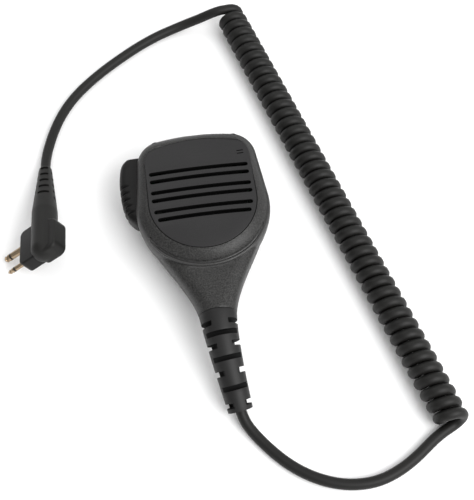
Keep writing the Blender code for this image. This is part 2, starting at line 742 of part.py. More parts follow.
def make_screws():
    head_z = BACK_Z + 2 * GAP
    shoulder_z = head_z + SCREW_HEAD_H
    profile = (
        (0.0, head_z + 0.7 * MM),
        (0.9 * MM, head_z + 0.7 * MM),
        (0.9 * MM, head_z),
        (SCREW_HEAD_R, head_z),
        (SCREW_HEAD_R, shoulder_z),
        (SCREW_R, shoulder_z),
        (SCREW_R, SCREW_TIP_Z - SCREW_R),
        (0.0, SCREW_TIP_Z),
    )
    for number, (x, y) in enumerate(SCREW_PLACES, 1):
        name = f"housing_screw_{number}"
        add_mesh(name, turned(profile, 12, x, y), finish(name, STEEL, 0.35, 1.0))
    pivot = (
        (0.0, SWIVEL_HEAD_Z + 0.5 * MM),
        (1.3 * MM, SWIVEL_HEAD_Z + 0.5 * MM),
        (1.3 * MM, SWIVEL_HEAD_Z),
        (SWIVEL_HEAD_R, SWIVEL_HEAD_Z),
        (SWIVEL_HEAD_R, SWIVEL_HEAD_Z + SWIVEL_HEAD_H),
        (SWIVEL_R, SWIVEL_HEAD_Z + SWIVEL_HEAD_H),
        (SWIVEL_R, BOARD_Z - 3 * GAP),
        (0.0, BOARD_Z - 3 * GAP),
    )
    add_mesh("swivel_screw", turned(pivot, 24), finish("swivel_screw", STEEL, 0.35, 1.0))
    hole = SWIVEL_R + GAP
    washer = band(SWIVEL_HEAD_R, hole, WASHER_Z, WASHER_Z + WASHER_T)
    add_mesh("swivel_washer", ring(washer, 24), finish("swivel_washer", STEEL, 0.35, 1.0))


def x_rod(x0, x1, y, z, radius, count=16):
    bm = rod(0, 0, x0, x1, radius, count)
    turn = Matrix.Translation((0, y, z)) @ Matrix.Rotation(math.pi / 2, 4, "Y")
    bmesh.ops.transform(bm, matrix=turn, verts=bm.verts)
    return bm


def make_clip():
    ear_out = CLIP_W / 2 - 2.0 * MM
    ear_in = ear_out - CLIP_EAR_T
    lug_out = ear_in - GAP
    lug_in = lug_out - CLIP_LUG_T
    base_top = CLIP_BASE_Z + CLIP_BASE_T
    disc = rod(0, 0, CLIP_BASE_Z, base_top, CLIP_BASE_R, 40)
    base = add_mesh("clip_base", disc, finish("clip_base", BLACK, 0.5))
    for name, side in (("left", -1), ("right", 1)):
        x0, x1 = sorted((side * ear_in, side * ear_out))
        arm = block((x0, 0, CLIP_BASE_Z + 0.1 * MM), (x1, CLIP_PIN_Y, base_top - 0.1 * MM))
        join(base, add_cutter(f"clip_arm_{name}", arm))
        ear = x_rod(x0, x1, CLIP_PIN_Y, CLIP_PIN_Z, CLIP_EAR_R)
        join(base, add_cutter(f"clip_ear_{name}", ear))
    stop_z = CLIP_PIN_Z + SPRING_R + SPRING_WIRE_R + GAP
    stop_y = CLIP_PIN_Y + SPRING_BASE_LEG
    stop_x = SPRING_STOP_W / 2
    stop = block((-stop_x, 0.6 * CLIP_BASE_R, stop_z), (stop_x, stop_y, base_top - 0.2 * MM))
    join(base, add_cutter("clip_spring_stop", stop))
    swivel_bore = rod(0, 0, CLIP_BASE_Z - WALL, BACK_Z + WALL, SWIVEL_R + RUNNING, 24)
    cut(base, add_cutter("clip_swivel_bore", swivel_bore))
    pin_bore = CLIP_PIN_R + RUNNING
    cut(base, add_cutter("clip_base_pin_bore", x_rod(-CLIP_W, CLIP_W, CLIP_PIN_Y, CLIP_PIN_Z, pin_bore)))

    tip_half = CLIP_TIP_W / 2
    jaw_circles = []
    for y, half, r in ((CLIP_TIP_Y, tip_half, CLIP_TIP_R), (CLIP_THUMB_Y, CLIP_W / 2, CLIP_THUMB_R)):
        inward = r if y < 0 else -r
        jaw_circles += [(half - r, y + inward, r), (r - half, y + inward, r)]
    levels = ((0.0, 0.5 * MM), (0.5 * MM, 0.0), (CLIP_T - 0.5 * MM, 0.0), (CLIP_T, 0.5 * MM))
    jaw = add_mesh("clip_jaw", skin([hull_outline(jaw_circles, i, z, 32) for z, i in levels]),
                   finish("clip_jaw", BLACK, 0.5))
    lip_half = tip_half - CLIP_TIP_R
    lip_low = (-lip_half, CLIP_TIP_Y + 0.4 * MM, CLIP_T / 2)
    lip = block(lip_low, (lip_half, CLIP_TIP_Y + CLIP_LIP_T, BACK_Z - GAP))
    join(jaw, add_cutter("clip_lip", lip))
    for name, side in (("left", -1), ("right", 1)):
        x0, x1 = sorted((side * lug_in, side * lug_out))
        web_half = 0.8 * CLIP_EAR_R
        web = block((x0, CLIP_PIN_Y - web_half, CLIP_T / 2), (x1, CLIP_PIN_Y + web_half, CLIP_PIN_Z))
        join(jaw, add_cutter(f"clip_lug_web_{name}", web))
        join(jaw, add_cutter(f"clip_lug_{name}", x_rod(x0, x1, CLIP_PIN_Y, CLIP_PIN_Z, CLIP_EAR_R * 0.95)))
    jaw_bore = x_rod(-lug_out - GAP, lug_out + GAP, CLIP_PIN_Y, CLIP_PIN_Z, pin_bore)
    cut(jaw, add_cutter("clip_jaw_pin_bore", jaw_bore))
    grips = bmesh.new()
    half_w = 0.32 * CLIP_W
    for i in range(THUMB_GROOVES):
        y = CLIP_THUMB_Y - THUMB_GROOVE_START - i * THUMB_GROOVE_PITCH
        y0, y1 = y - THUMB_GROOVE_W / 2, y + THUMB_GROOVE_W / 2
        add_block(grips, (-half_w, y0, CLIP_T - THUMB_GROOVE_DEPTH), (half_w, y1, CLIP_T + WALL))
    cut(jaw, add_cutter("clip_thumb_grooves", grips))
    pin = x_rod(-ear_out, ear_out, CLIP_PIN_Y, CLIP_PIN_Z, CLIP_PIN_R)
    add_mesh("clip_pin", pin, finish("clip_pin", STEEL, 0.3, 1.0))
    make_clip_spring()


def make_clip_spring():
    """Torsion spring round the clip's pin, one leg along the thumb end and one under the base's stop."""
    points = []
    steps = round(SPRING_TURNS * SPRING_TURN_POINTS)
    half = SPRING_TURNS * SPRING_PITCH / 2
    centre = Vector((0, CLIP_PIN_Y, CLIP_PIN_Z))
    for i in range(steps + 1):
        turn = i / SPRING_TURN_POINTS
        angle = math.tau * (0.75 - turn)
        x = SPRING_PITCH * turn - half
        points.append(centre + Vector((x, SPRING_R * math.cos(angle), SPRING_R * math.sin(angle))))
    spare = least_gap(points, SPRING_TURN_POINTS // 2, 2 * SPRING_WIRE_R)
    print(f"clip spring least gap {spare / MM:.2f} mm")
    thumb_leg = points[0] + Vector((0, SPRING_THUMB_LEG, 0))
    base_leg = points[-1] + Vector((0, SPRING_BASE_LEG, 0))
    wire = finish("clip_spring", STEEL, 0.3, 1.0)
    add_tube("clip_spring", [thumb_leg, *points, base_leg], SPRING_WIRE_R, wire, 1)


def least_gap(points, apart, diameter):
    """Least distance between the surfaces of one tube, for points that are at least apart steps away."""
    best = 1.0
    for i, p in enumerate(points):
        for q in points[i + apart:]:
            best = min(best, (p - q).length)
    return best - diameter


def add_tube(name, points, radius, material, resolution):
    """A round tube of one open spline with filled ends."""
    curve = bpy.data.curves.new(name, "CURVE")
    curve.dimensions = "3D"
    curve.bevel_depth = radius
    curve.bevel_resolution = resolution
    curve.use_fill_caps = True
    spline = curve.splines.new("POLY")
    spline.points.add(len(points) - 1)
    for target, point in zip(spline.points, points):
        target.co = (*point, 1.0)
    spline.use_smooth = True
    item = bpy.data.objects.new(name, curve)
    curve.materials.append(material)
    bpy.context.scene.collection.objects.link(item)
    return item


def smooth_route(points, spacing):
    """Points along a smooth curve through the given ones, about spacing apart."""
    padded = [2 * points[0] - points[1]] + points + [2 * points[-1] - points[-2]]
    out = [points[0]]
    for p0, p1, p2, p3 in zip(padded, padded[1:], padded[2:], padded[3:]):
        steps = max(1, round((p2 - p1).length / spacing))
        for i in range(1, steps + 1):
            t = i / steps
            out.append(((2 * p1) + (p2 - p0) * t + (2 * p0 - 5 * p1 + 4 * p2 - p3) * t ** 2
                        + (3 * p1 - p0 - 3 * p2 + p3) * t ** 3) / 2)
    return out


def relief_axis(share):
    """A point on the strain relief's bent axis, and the direction there."""
    start = Vector((0, NECK_END_Y - GAP, PARTING_Z))
    bend = start - Vector((0, RELIEF_BEND_L, 0))
    a, b = start.lerp(bend, share), bend.lerp(RELIEF_END, share)
    return a.lerp(b, share), (b - a).normalized()


def cross_section(centre, along, radius, count):
    """A circle of points square to a direction, its first point to the +X side."""
    side = along.cross(Vector((0, 0, 1))).normalized()
    up = side.cross(along)
    step = math.tau / count
    return [centre + radius * (math.cos(i * step) * side + math.sin(i * step) * up) for i in range(count)]


def make_strain_relief():
    count = 20
    backwards = Vector((0, -1, 0))
    inside_y = NECK_END_Y + WALL + GAP
    rings = []
    for y, radius in ((inside_y + RELIEF_FLANGE_T, RELIEF_FLANGE_R), (inside_y, RELIEF_FLANGE_R),
                      (inside_y, RELIEF_STUB_R), (NECK_END_Y - GAP, RELIEF_STUB_R)):
        rings.append(cross_section(Vector((0, y, PARTING_Z)), backwards, radius, count))
    samples = 6
    for i in range(samples + 1):
        share = i / samples
        centre, along = relief_axis(share)
        radius = RELIEF_START_R + (RELIEF_END_R - RELIEF_START_R) * share
        rings.append(cross_section(centre, along, radius, count))
    relief = add_mesh("strain_relief", skin(rings), finish("strain_relief", SOFT_BLACK, 0.6))
    start = relief_axis(0.0)[0]
    length = (RELIEF_END - start).length
    slots = bmesh.new()
    for station in range(RELIEF_STATIONS):
        share = (RELIEF_FIRST + station * RELIEF_PITCH) / length
        centre, along = relief_axis(share)
        side = along.cross(Vector((0, 0, 1))).normalized()
        up = side.cross(along)
        reach = side if station % 2 == 0 else up
        across = up if station % 2 == 0 else side
        radius = RELIEF_START_R + (RELIEF_END_R - RELIEF_START_R) * share
        frame = Matrix((reach, across, along)).transposed().to_4x4()
        for sign in (-1, 1):
            depth = radius * (1 - RELIEF_WEB) + WALL
            middle = centre + reach * sign * (radius * RELIEF_WEB + depth / 2)
            size = Matrix.Diagonal((depth, 3 * radius, RELIEF_SLOT_W, 1.0))
            bmesh.ops.create_cube(slots, size=1.0, matrix=Matrix.Translation(middle) @ frame @ size)
    cut(relief, add_cutter("relief_slots", slots))


def coil_frame():
    along = (COIL_NEAR - COIL_FAR).normalized()
    right = along.cross(Vector((0, 0, -1)))
    pitch = (COIL_NEAR - COIL_FAR).length / COIL_TURNS
    return along, right, pitch


def coil_lead(at_near_end):
    """Where the coil's tube starts or ends, and the way it runs there, from plug to microphone."""
    along, right, pitch = coil_frame()
    climb = along * pitch / (math.tau * COIL_R)
    if at_near_end:
        return COIL_NEAR + Vector((0, 0, COIL_AXIS_Z - COIL_R)), (climb - right).normalized()
    return COIL_FAR + Vector((0, 0, COIL_AXIS_Z + COIL_R)), (climb + right).normalized()


def make_cord_coil():
    """The curly cord: a left-handed helix from over the top at the plug end to underneath at the other."""
    along, right, pitch = coil_frame()
    steps = round(COIL_TURNS * TURN_POINTS)
    turns = []
    for i in range(steps + 1):
        turn = COIL_TURNS * i / steps
        angle = math.tau * turn
        centre = COIL_FAR + along * pitch * turn + Vector((0, 0, COIL_AXIS_Z))
        turns.append(centre + COIL_R * (math.cos(angle) * Vector((0, 0, 1)) + math.sin(angle) * right))
    start, start_way = coil_lead(False)
    end, end_way = coil_lead(True)
    points = [start - start_way * CORD_D] + turns + [end + end_way * CORD_D]
    print(f"curly cord least gap {least_gap(points, TURN_POINTS // 2, CORD_D) / MM:.2f} mm")
    add_tube("cord_coil", points, CORD_D / 2, finish("cord_coil", SOFT_BLACK, 0.5), 1)


def make_straight_cords():
    end, way = coil_lead(True)
    relief_end, relief_way = relief_axis(1.0)
    first = relief_end + relief_way * GAP
    last = end + way * (CORD_D + GAP)
    route = [first, first + relief_way * CORD_D]
    route += [Vector(p) * MM for p in LOWER_ROUTE]
    route += [last + way * CORD_D, last]
    rubber = finish("cord_lower", SOFT_BLACK, 0.5)
    add_tube("cord_lower", smooth_route(route, 2.0 * CORD_D), CORD_D / 2, rubber, 3)
    start, way = coil_lead(False)
    tail_way = (PLUG_TAIL - PLUG_NOSE).normalized()
    first = PLUG_TAIL + tail_way * GAP
    last = start - way * (CORD_D + GAP)
    route = [first, first + tail_way * CORD_D]
    route += [Vector(p) * MM for p in UPPER_ROUTE]
    route += [last - way * CORD_D, last]
    rubber = finish("cord_upper", SOFT_BLACK, 0.5)
    add_tube("cord_upper", smooth_route(route, 2.0 * CORD_D), CORD_D / 2, rubber, 3)


def plug_frame(tilt):
    """Axes at the plug's nose: x out of its side and down by tilt, y along its handle, z up."""
    nose_way = (PLUG_NOSE - PLUG_TAIL).normalized()
    level = nose_way.cross(Vector((0, 0, 1))).normalized()
    level = -level if level.x > 0 else level
    rise = level.cross(nose_way)
    rise = rise if rise.z > 0 else -rise
    pin_way = math.cos(tilt) * level - math.sin(tilt) * rise
    up = pin_way.cross(nose_way)
    turn = Matrix((pin_way, nose_way, up)).transposed().to_4x4()
    return Matrix.Translation(PLUG_NOSE) @ turn


def make_plug():
    place = plug_frame(PLUG_PIN_TILT)
    make_plug_handle(place)
    body = plug_block((BASE_ROOT, BASE_LOW_Y), (BASE_FRONT, BASE_HIGH_Y), 0.0)
    base = add_mesh("plug_base", body, finish("plug_base", BLACK, 0.5), place)
    make_pin(base, place, "large_pin", PIN_MIDDLE_Y - PIN_SPACING / 2, LARGE_PIN_R, LARGE_PIN_L)
    make_pin(base, place, "small_pin", PIN_MIDDLE_Y + PIN_SPACING / 2, SMALL_PIN_R, SMALL_PIN_L)


def make_plug_handle(place):
    """The tapered grip with its finger slots, and the heel behind it that closes the back of the block."""
    length = (PLUG_NOSE - PLUG_TAIL).length
    count = 20

    def section(y, radius):
        return [Vector((p.x, y, p.y)) for p in circle(radius, count)]

    rings = [section(-length, HANDLE_TAIL_R - 0.5 * MM), section(-length + 0.5 * MM, HANDLE_TAIL_R)]
    rings.append(section(-HANDLE_SHOULDER, HANDLE_R))
    rings.append(section(0.0, HANDLE_R))
    for degrees in (25, 45, 62, 78):
        angle = math.radians(degrees)
        rings.append(section(0.9 * HANDLE_R * math.sin(angle), HANDLE_R * math.cos(angle)))
    handle = add_mesh("plug_handle", skin(rings), finish("plug_handle", SOFT_BLACK, 0.55), place)
    heel = plug_block((HEEL_BACK, HEEL_LOW_Y), (BASE_CORNER, HEEL_HIGH_Y), HEEL_OVER)
    join(handle, add_cutter("plug_heel", heel, place))
    slots = bmesh.new()
    half = HANDLE_SLOT_W / 2
    for i in range(HANDLE_SLOTS):
        y = -length + HANDLE_SLOT_START + i * HANDLE_SLOT_PITCH
        share = (y + length) / (length - HANDLE_SHOULDER)
        radius = HANDLE_TAIL_R + (HANDLE_R - HANDLE_TAIL_R) * share
        span = HANDLE_SLOT_SPAN * radius
        for sign in (-1, 1):
            z = sorted((sign * (radius - HANDLE_SLOT_DEPTH), sign * (radius + WALL)))
            add_block(slots, (-span, y - half, z[0]), (span, y + half, z[1]))
            x = sorted((sign * (radius - HANDLE_NOTCH_DEPTH), sign * (radius + WALL)))
            notch_y = y + HANDLE_SLOT_PITCH / 2
            add_block(slots, (x[0], notch_y - half, -span), (x[1], notch_y + half, span))
    cut(handle, add_cutter("plug_handle_slots", slots, plug_frame(0.0)))
    pocket = plug_block((BASE_ROOT, BASE_LOW_Y), (BASE_FRONT, BASE_HIGH_Y), GAP)
    cut(handle, add_cutter("plug_base_pocket", pocket, place))


def plug_block(low, high, grow):
    """A block across the plug's nose between two (x, y) corners, its edges softened, grown all round."""
    corner = BASE_CORNER + grow
    xs = (low[0] + BASE_CORNER, high[0] - BASE_CORNER)
    ys = (low[1] + BASE_CORNER, high[1] - BASE_CORNER)
    corners = [(x, y, corner) for x in xs for y in ys]
    bottom = -BASE_DROP - BASE_T / 2 - grow
    top = -BASE_DROP + BASE_T / 2 + grow
    levels = ((bottom, BASE_EDGE), (bottom + BASE_EDGE, 0.0), (top - BASE_EDGE, 0.0), (top, BASE_EDGE))
    return skin([hull_outline(corners, inset, z, 24) for z, inset in levels])


def make_pin(base, place, name, y, radius, length):
    """One plug pin in its socket: metal sleeve, insulating ring and tip."""
    lay = place @ Matrix.Translation((BASE_FRONT, y, -BASE_DROP)) @ Matrix.Rotation(math.pi / 2, 4, "Y")
    seam = 0.1 * MM
    cut(base, add_cutter(f"{name}_socket", rod(0, 0, -PIN_ROOT - GAP, WALL, radius + GAP), lay))
    ring_z = length - PIN_TIP_L - PIN_RING_L
    sleeve = rod(0, 0, -PIN_ROOT, ring_z - seam, radius)
    add_mesh(f"{name}_sleeve", sleeve, finish(f"{name}_sleeve", GOLD, 0.25, 1.0), lay)
    ring_body = rod(0, 0, ring_z, ring_z + PIN_RING_L, radius)
    add_mesh(f"{name}_ring", ring_body, finish(f"{name}_ring", SOFT_BLACK, 0.4), lay)
    tip_z = ring_z + PIN_RING_L + seam
    tip = (
        (0.0, tip_z),
        (radius, tip_z),
        (radius, tip_z + 0.30 * PIN_TIP_L),
        (0.72 * radius, tip_z + 0.45 * PIN_TIP_L),
        (0.95 * radius, tip_z + 0.62 * PIN_TIP_L),
        (0.45 * radius, length - 0.08 * PIN_TIP_L),
        (0.0, length),
    )
    add_mesh(f"{name}_tip", turned(tip, 14), finish(f"{name}_tip", GOLD, 0.25, 1.0), lay)


def build():
    clear_scene()
    make_front_housing()
    make_rear_housing()
    make_speaker_grille()
    make_speaker()
    make_circuit_board()
    make_microphone()
    make_talk_button()
    make_screws()
    make_clip()
    make_strain_relief()
    make_cord_coil()
    make_straight_cords()
    make_plug()


build()
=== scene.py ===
# %% [markdown]
# # A remote speaker microphone, dressed for its portrait
# The frame holds the solids of the microphone, its clip, its curly cord and its plug, each at its place.
# This lesson gives every solid a finish, and remakes the moulded and rubber ones with finer meshes,
# because light on black plastic shows every flat facet.

import math

import bmesh
import bpy
from mathutils import Matrix, Vector


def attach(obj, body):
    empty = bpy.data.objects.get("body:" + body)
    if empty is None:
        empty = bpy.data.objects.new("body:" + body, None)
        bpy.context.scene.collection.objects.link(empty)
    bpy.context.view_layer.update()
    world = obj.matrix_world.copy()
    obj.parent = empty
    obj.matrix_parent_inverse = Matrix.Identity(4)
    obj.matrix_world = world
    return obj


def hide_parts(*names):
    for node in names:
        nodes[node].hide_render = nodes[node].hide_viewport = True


MM = 0.001
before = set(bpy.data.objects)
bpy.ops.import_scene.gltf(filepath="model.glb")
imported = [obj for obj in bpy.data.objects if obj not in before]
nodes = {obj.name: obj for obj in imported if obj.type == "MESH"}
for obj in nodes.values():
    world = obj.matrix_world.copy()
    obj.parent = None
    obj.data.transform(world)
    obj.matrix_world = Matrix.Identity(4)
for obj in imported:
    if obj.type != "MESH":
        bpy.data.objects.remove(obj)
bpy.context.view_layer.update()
scene = bpy.context.scene
scene.view_settings.view_transform = "Standard"
print(len(nodes), "solids loaded")

# %% [markdown]
# ## The camera
# The picture was taken from above, with the top of the microphone away from us. A long lens keeps the
# near and far ends of the coil almost equally thick. The sensor is fitted to the picture's width, so that
# the framing doesn't depend on which side is longer.

# %% Camera
CAMERA_AT = Vector((-0.01489, -0.22819, 0.42096))
CAMERA_AIM = Vector((0.01496, -0.01579, 0.0))
lens = bpy.data.cameras.new("camera")
lens.sensor_fit = "HORIZONTAL"
lens.sensor_width = 36.0
lens.lens = 70.33
camera = bpy.data.objects.new("camera", lens)
scene.collection.objects.link(camera)
camera.location = CAMERA_AT
camera.rotation_euler = (CAMERA_AIM - CAMERA_AT).to_track_quat("-Z", "Y").to_euler()
scene.camera = camera
print("camera", round((CAMERA_AIM - CAMERA_AT).length, 3), "m away")

# %% [markdown]
# ## Finishes
# Every finish is a small node tree on Object coordinates, which are metres here, so a noise scale of 1000
# has features of about a millimetre. Moulded plastic gets its look from a fine spark-eroded grain:
# a bump too small to see one by one, which breaks the highlight into sparkle, and lighter specks in its
# colour, which are partly painted sparkle.


# %% Finish helpers
def blank_finish(name):
    """A new material, with its node tree and its Principled shader."""
    material = bpy.data.materials.new(name)
    material.use_nodes = True
    tree = material.node_tree
    return material, tree, tree.nodes["Principled BSDF"]


def add_noise(tree, scale, detail):
    """Noise on Object coordinates."""
    place = tree.nodes.new("ShaderNodeTexCoord")
    noise = tree.nodes.new("ShaderNodeTexNoise")
    noise.inputs["Scale"].default_value = scale
    noise.inputs["Detail"].default_value = detail
    tree.links.new(place.outputs["Object"], noise.inputs["Vector"])
    return noise.outputs["Fac"]


def add_ramp(tree, value, low, high, dark, light):
    """Two colours, chosen by a value between low and high."""
    ramp = tree.nodes.new("ShaderNodeValToRGB")
    ramp.color_ramp.elements[0].position = low
    ramp.color_ramp.elements[1].position = high
    ramp.color_ramp.elements[0].color = (*dark, 1.0)
    ramp.color_ramp.elements[1].color = (*light, 1.0)
    tree.links.new(value, ramp.inputs["Fac"])
    return ramp.outputs["Color"]


def add_range(tree, value, low, high):
    """A value from 0 to 1, spread between low and high."""
    spread = tree.nodes.new("ShaderNodeMapRange")
    spread.inputs["To Min"].default_value = low
    spread.inputs["To Max"].default_value = high
    tree.links.new(value, spread.inputs["Value"])
    return spread.outputs["Result"]


def add_bump(tree, height, strength, distance):
    """A bump that shapes the light."""
    bump = tree.nodes.new("ShaderNodeBump")
    bump.inputs["Strength"].default_value = strength
    bump.inputs["Distance"].default_value = distance
    tree.links.new(height, bump.inputs["Height"])
    return bump.outputs["Normal"]


def tinted(colour, factor):
    """The colour, darker or lighter by a factor."""
    return tuple(min(1.0, c * factor) for c in colour)


# %% Plastic and rubber
GRAIN_DEPTH = 0.10 * MM
SKIN_DEPTH = 0.05 * MM


def moulded_finish(name, colour, rough, grain, scale, grain_and_sparkle_specks, shine=0.28):
    """Moulded plastic: a fine grain that breaks the light, lighter specks in its colour that are partly
    painted sparkle, and faint cloudiness from the mould.
    """
    material, tree, shader = blank_finish(name)
    fine = add_noise(tree, scale, detail=1.0)
    cloud = add_noise(tree, scale=55.0, detail=3.0)
    # The lighter end of this ramp makes the grain's specks: random tone, and partly painted sparkle.
    base = add_ramp(tree, fine, 0.30, 0.78, tinted(colour, 0.80), tinted(colour, grain_and_sparkle_specks))
    tree.links.new(base, shader.inputs["Base Color"])
    tree.links.new(add_range(tree, cloud, rough - 0.06, rough + 0.06), shader.inputs["Roughness"])
    tree.links.new(add_bump(tree, fine, grain, GRAIN_DEPTH), shader.inputs["Normal"])
    shader.inputs["Specular IOR Level"].default_value = shine
    return material


def rubber_finish(name, colour, rough, shine=0.25):
    """Soft plastic: an even satin skin with faint flow marks."""
    material, tree, shader = blank_finish(name)
    skin = add_noise(tree, scale=900.0, detail=2.0)
    cloud = add_noise(tree, scale=90.0, detail=3.0)
    base = add_ramp(tree, cloud, 0.3, 0.7, tinted(colour, 0.85), tinted(colour, 1.15))
    tree.links.new(base, shader.inputs["Base Color"])
    tree.links.new(add_range(tree, cloud, rough - 0.05, rough + 0.05), shader.inputs["Roughness"])
    tree.links.new(add_bump(tree, skin, 0.12, SKIN_DEPTH), shader.inputs["Normal"])
    shader.inputs["Specular IOR Level"].default_value = shine
    return material


CHARCOAL = (0.013, 0.0128, 0.0125)
# A lighter grey for the lip: a painted highlight.
LIP_HIGHLIGHT_GREY = (0.040, 0.0395, 0.039)
PANEL_BLACK = (0.016, 0.0155, 0.016)
RUBBER_BLACK = (0.008, 0.0078, 0.0072)
BUTTON_BLACK = (0.005, 0.0049, 0.0048)
SOFT_GREY = (0.013, 0.0128, 0.0128)
# The grained plastic's strong lighter specks are painted sparkle on top of the grain's random tone.
grained = moulded_finish("grained_plastic", CHARCOAL, rough=0.42, grain=0.9, scale=1500.0, grain_and_sparkle_specks=3.2)
panel_skin = moulded_finish("panel_plastic", PANEL_BLACK, rough=0.46, grain=0.12, scale=2600.0, grain_and_sparkle_specks=1.2)
button_skin = moulded_finish("button_plastic", BUTTON_BLACK, rough=0.42, grain=0.15, scale=2200.0,
                             grain_and_sparkle_specks=1.3, shine=0.18)
# The lip's lighter grey is a painted highlight.
lip_painted_highlight = moulded_finish("lip_highlight_plastic", LIP_HIGHLIGHT_GREY, rough=0.26, grain=0.05, scale=2200.0, grain_and_sparkle_specks=1.2)
clip_skin = moulded_finish("clip_plastic", CHARCOAL, rough=0.48, grain=0.30, scale=1900.0, grain_and_sparkle_specks=1.3)
cord_rubber = rubber_finish("cord_rubber", RUBBER_BLACK, rough=0.50)
relief_rubber = rubber_finish("relief_rubber", SOFT_GREY, rough=0.50)
plug_rubber = rubber_finish("plug_rubber", RUBBER_BLACK, rough=0.50)
block_skin = moulded_finish("block_plastic", BUTTON_BLACK, rough=0.48, grain=0.12, scale=2600.0,
                            grain_and_sparkle_specks=1.2, shine=0.22)
print("plastics and rubbers made")

# %% [markdown]
# Metals carry a fine scatter of marks, which varies their tint and their shine a little. Behind the slots lie
# a black cloth, foam and a paper cone, which only need a soft, uneven black.

# %% Metals and the inner finishes
MARK_DEPTH = 0.03 * MM
THREAD_DEPTH = 0.10 * MM
COPPER_DEPTH = 0.05 * MM


def metal_finish(name, colour, rough, scale):
    """Bare metal with fine marks all over."""
    material, tree, shader = blank_finish(name)
    marks = add_noise(tree, scale, detail=4.0)
    base = add_ramp(tree, marks, 0.25, 0.75, tinted(colour, 0.86), tinted(colour, 1.08))
    tree.links.new(base, shader.inputs["Base Color"])
    tree.links.new(add_range(tree, marks, rough - 0.08, rough + 0.10), shader.inputs["Roughness"])
    tree.links.new(add_bump(tree, marks, 0.10, MARK_DEPTH), shader.inputs["Normal"])
    shader.inputs["Metallic"].default_value = 1.0
    return material


def cloth_finish(name, colour, scale):
    """Plain weave: two crossed bands of waves, the higher one on top."""
    material, tree, shader = blank_finish(name)
    place = tree.nodes.new("ShaderNodeTexCoord")
    threads = []
    for direction in ("X", "Y"):
        wave = tree.nodes.new("ShaderNodeTexWave")
        wave.bands_direction = direction
        wave.inputs["Scale"].default_value = scale
        tree.links.new(place.outputs["Object"], wave.inputs["Vector"])
        threads.append(wave.outputs["Fac"])
    weave = tree.nodes.new("ShaderNodeMath")
    weave.operation = "MAXIMUM"
    tree.links.new(threads[0], weave.inputs[0])
    tree.links.new(threads[1], weave.inputs[1])
    base = add_ramp(tree, weave.outputs["Value"], 0.3, 0.9, tinted(colour, 0.4), colour)
    tree.links.new(base, shader.inputs["Base Color"])
    tree.links.new(add_bump(tree, weave.outputs["Value"], 0.6, THREAD_DEPTH), shader.inputs["Normal"])
    shader.inputs["Roughness"].default_value = 0.9
    shader.inputs["Specular IOR Level"].default_value = 0.04
    return material


def board_finish(name):
    """Green solder mask with faint copper tracks under it."""
    material, tree, shader = blank_finish(name)
    place = tree.nodes.new("ShaderNodeTexCoord")
    tracks = tree.nodes.new("ShaderNodeTexBrick")
    tracks.inputs["Scale"].default_value = 160.0
    tracks.inputs["Mortar Size"].default_value = 0.012
    tracks.inputs["Color1"].default_value = (0.003, 0.020, 0.008, 1.0)
    tracks.inputs["Color2"].default_value = (0.004, 0.024, 0.010, 1.0)
    tracks.inputs["Mortar"].default_value = (0.008, 0.050, 0.018, 1.0)
    tree.links.new(place.outputs["Object"], tracks.inputs["Vector"])
    tree.links.new(tracks.outputs["Color"], shader.inputs["Base Color"])
    tree.links.new(add_bump(tree, tracks.outputs["Fac"], 0.2, COPPER_DEPTH), shader.inputs["Normal"])
    shader.inputs["Roughness"].default_value = 0.35
    return material


steel = metal_finish("steel", (0.52, 0.52, 0.54), rough=0.34, scale=900.0)
pin_gold = metal_finish("pin_gold", (0.38, 0.29, 0.195), rough=0.20, scale=700.0)
cloth = cloth_finish("dust_cloth", (0.004, 0.004, 0.004), scale=900.0)
foam = rubber_finish("foam", (0.008, 0.008, 0.008), rough=0.90, shine=0.04)
cone_paper = rubber_finish("cone_paper", (0.018, 0.017, 0.017), rough=0.80, shine=0.10)
board_green = board_finish("solder_mask")
ring_black = rubber_finish("pin_insulator", (0.012, 0.012, 0.012), rough=0.35)
# Slot walls painted near black: painted shade in the slots.
slot_painted_shade = rubber_finish("slot_walls_painted_shade", (0.004, 0.004, 0.004), rough=0.90, shine=0.04)
# Pocket walls painted near black: painted shade in cut-outs and grooves.
pocket_painted_shade = rubber_finish("pocket_walls_painted_shade", (0.006, 0.006, 0.006), rough=0.80, shine=0.12)
NODE_FINISHES = {
    "dust_mesh": cloth,
    "speaker_gasket": foam,
    "speaker_frame": steel,
    "speaker_cone": cone_paper,
    "speaker_magnet": steel,
    "circuit_board": board_green,
    "mic_capsule": steel,
    "mic_boot": foam,
    "ptt_dome": foam,
    "ptt_plunger": button_skin,
    "ptt_switch": button_skin,
    "housing_screw_1": steel,
    "housing_screw_2": steel,
    "housing_screw_3": steel,
    "housing_screw_4": steel,
    "swivel_screw": steel,
    "swivel_washer": steel,
    "clip_base": clip_skin,
    "clip_jaw": clip_skin,
    "clip_pin": steel,
    "clip_spring": steel,
}
for name, finish in NODE_FINISHES.items():
    nodes[name].data.materials.clear()
    nodes[name].data.materials.append(finish)
print(len(NODE_FINISHES), "solids keep their shape and get a finish")


# %% [markdown]
# ## The cord
# The cord is one length of round cable: a plain stretch out of the strain relief, forty-odd left-handed
# curls, and a plain stretch to the plug. Heat has set the curls, so they keep their pitch. One open curve
# with a round bevel makes all of it, because then the cable can't come apart at the joins. In the curls the
# cable swells a little, so that neighbours close up.

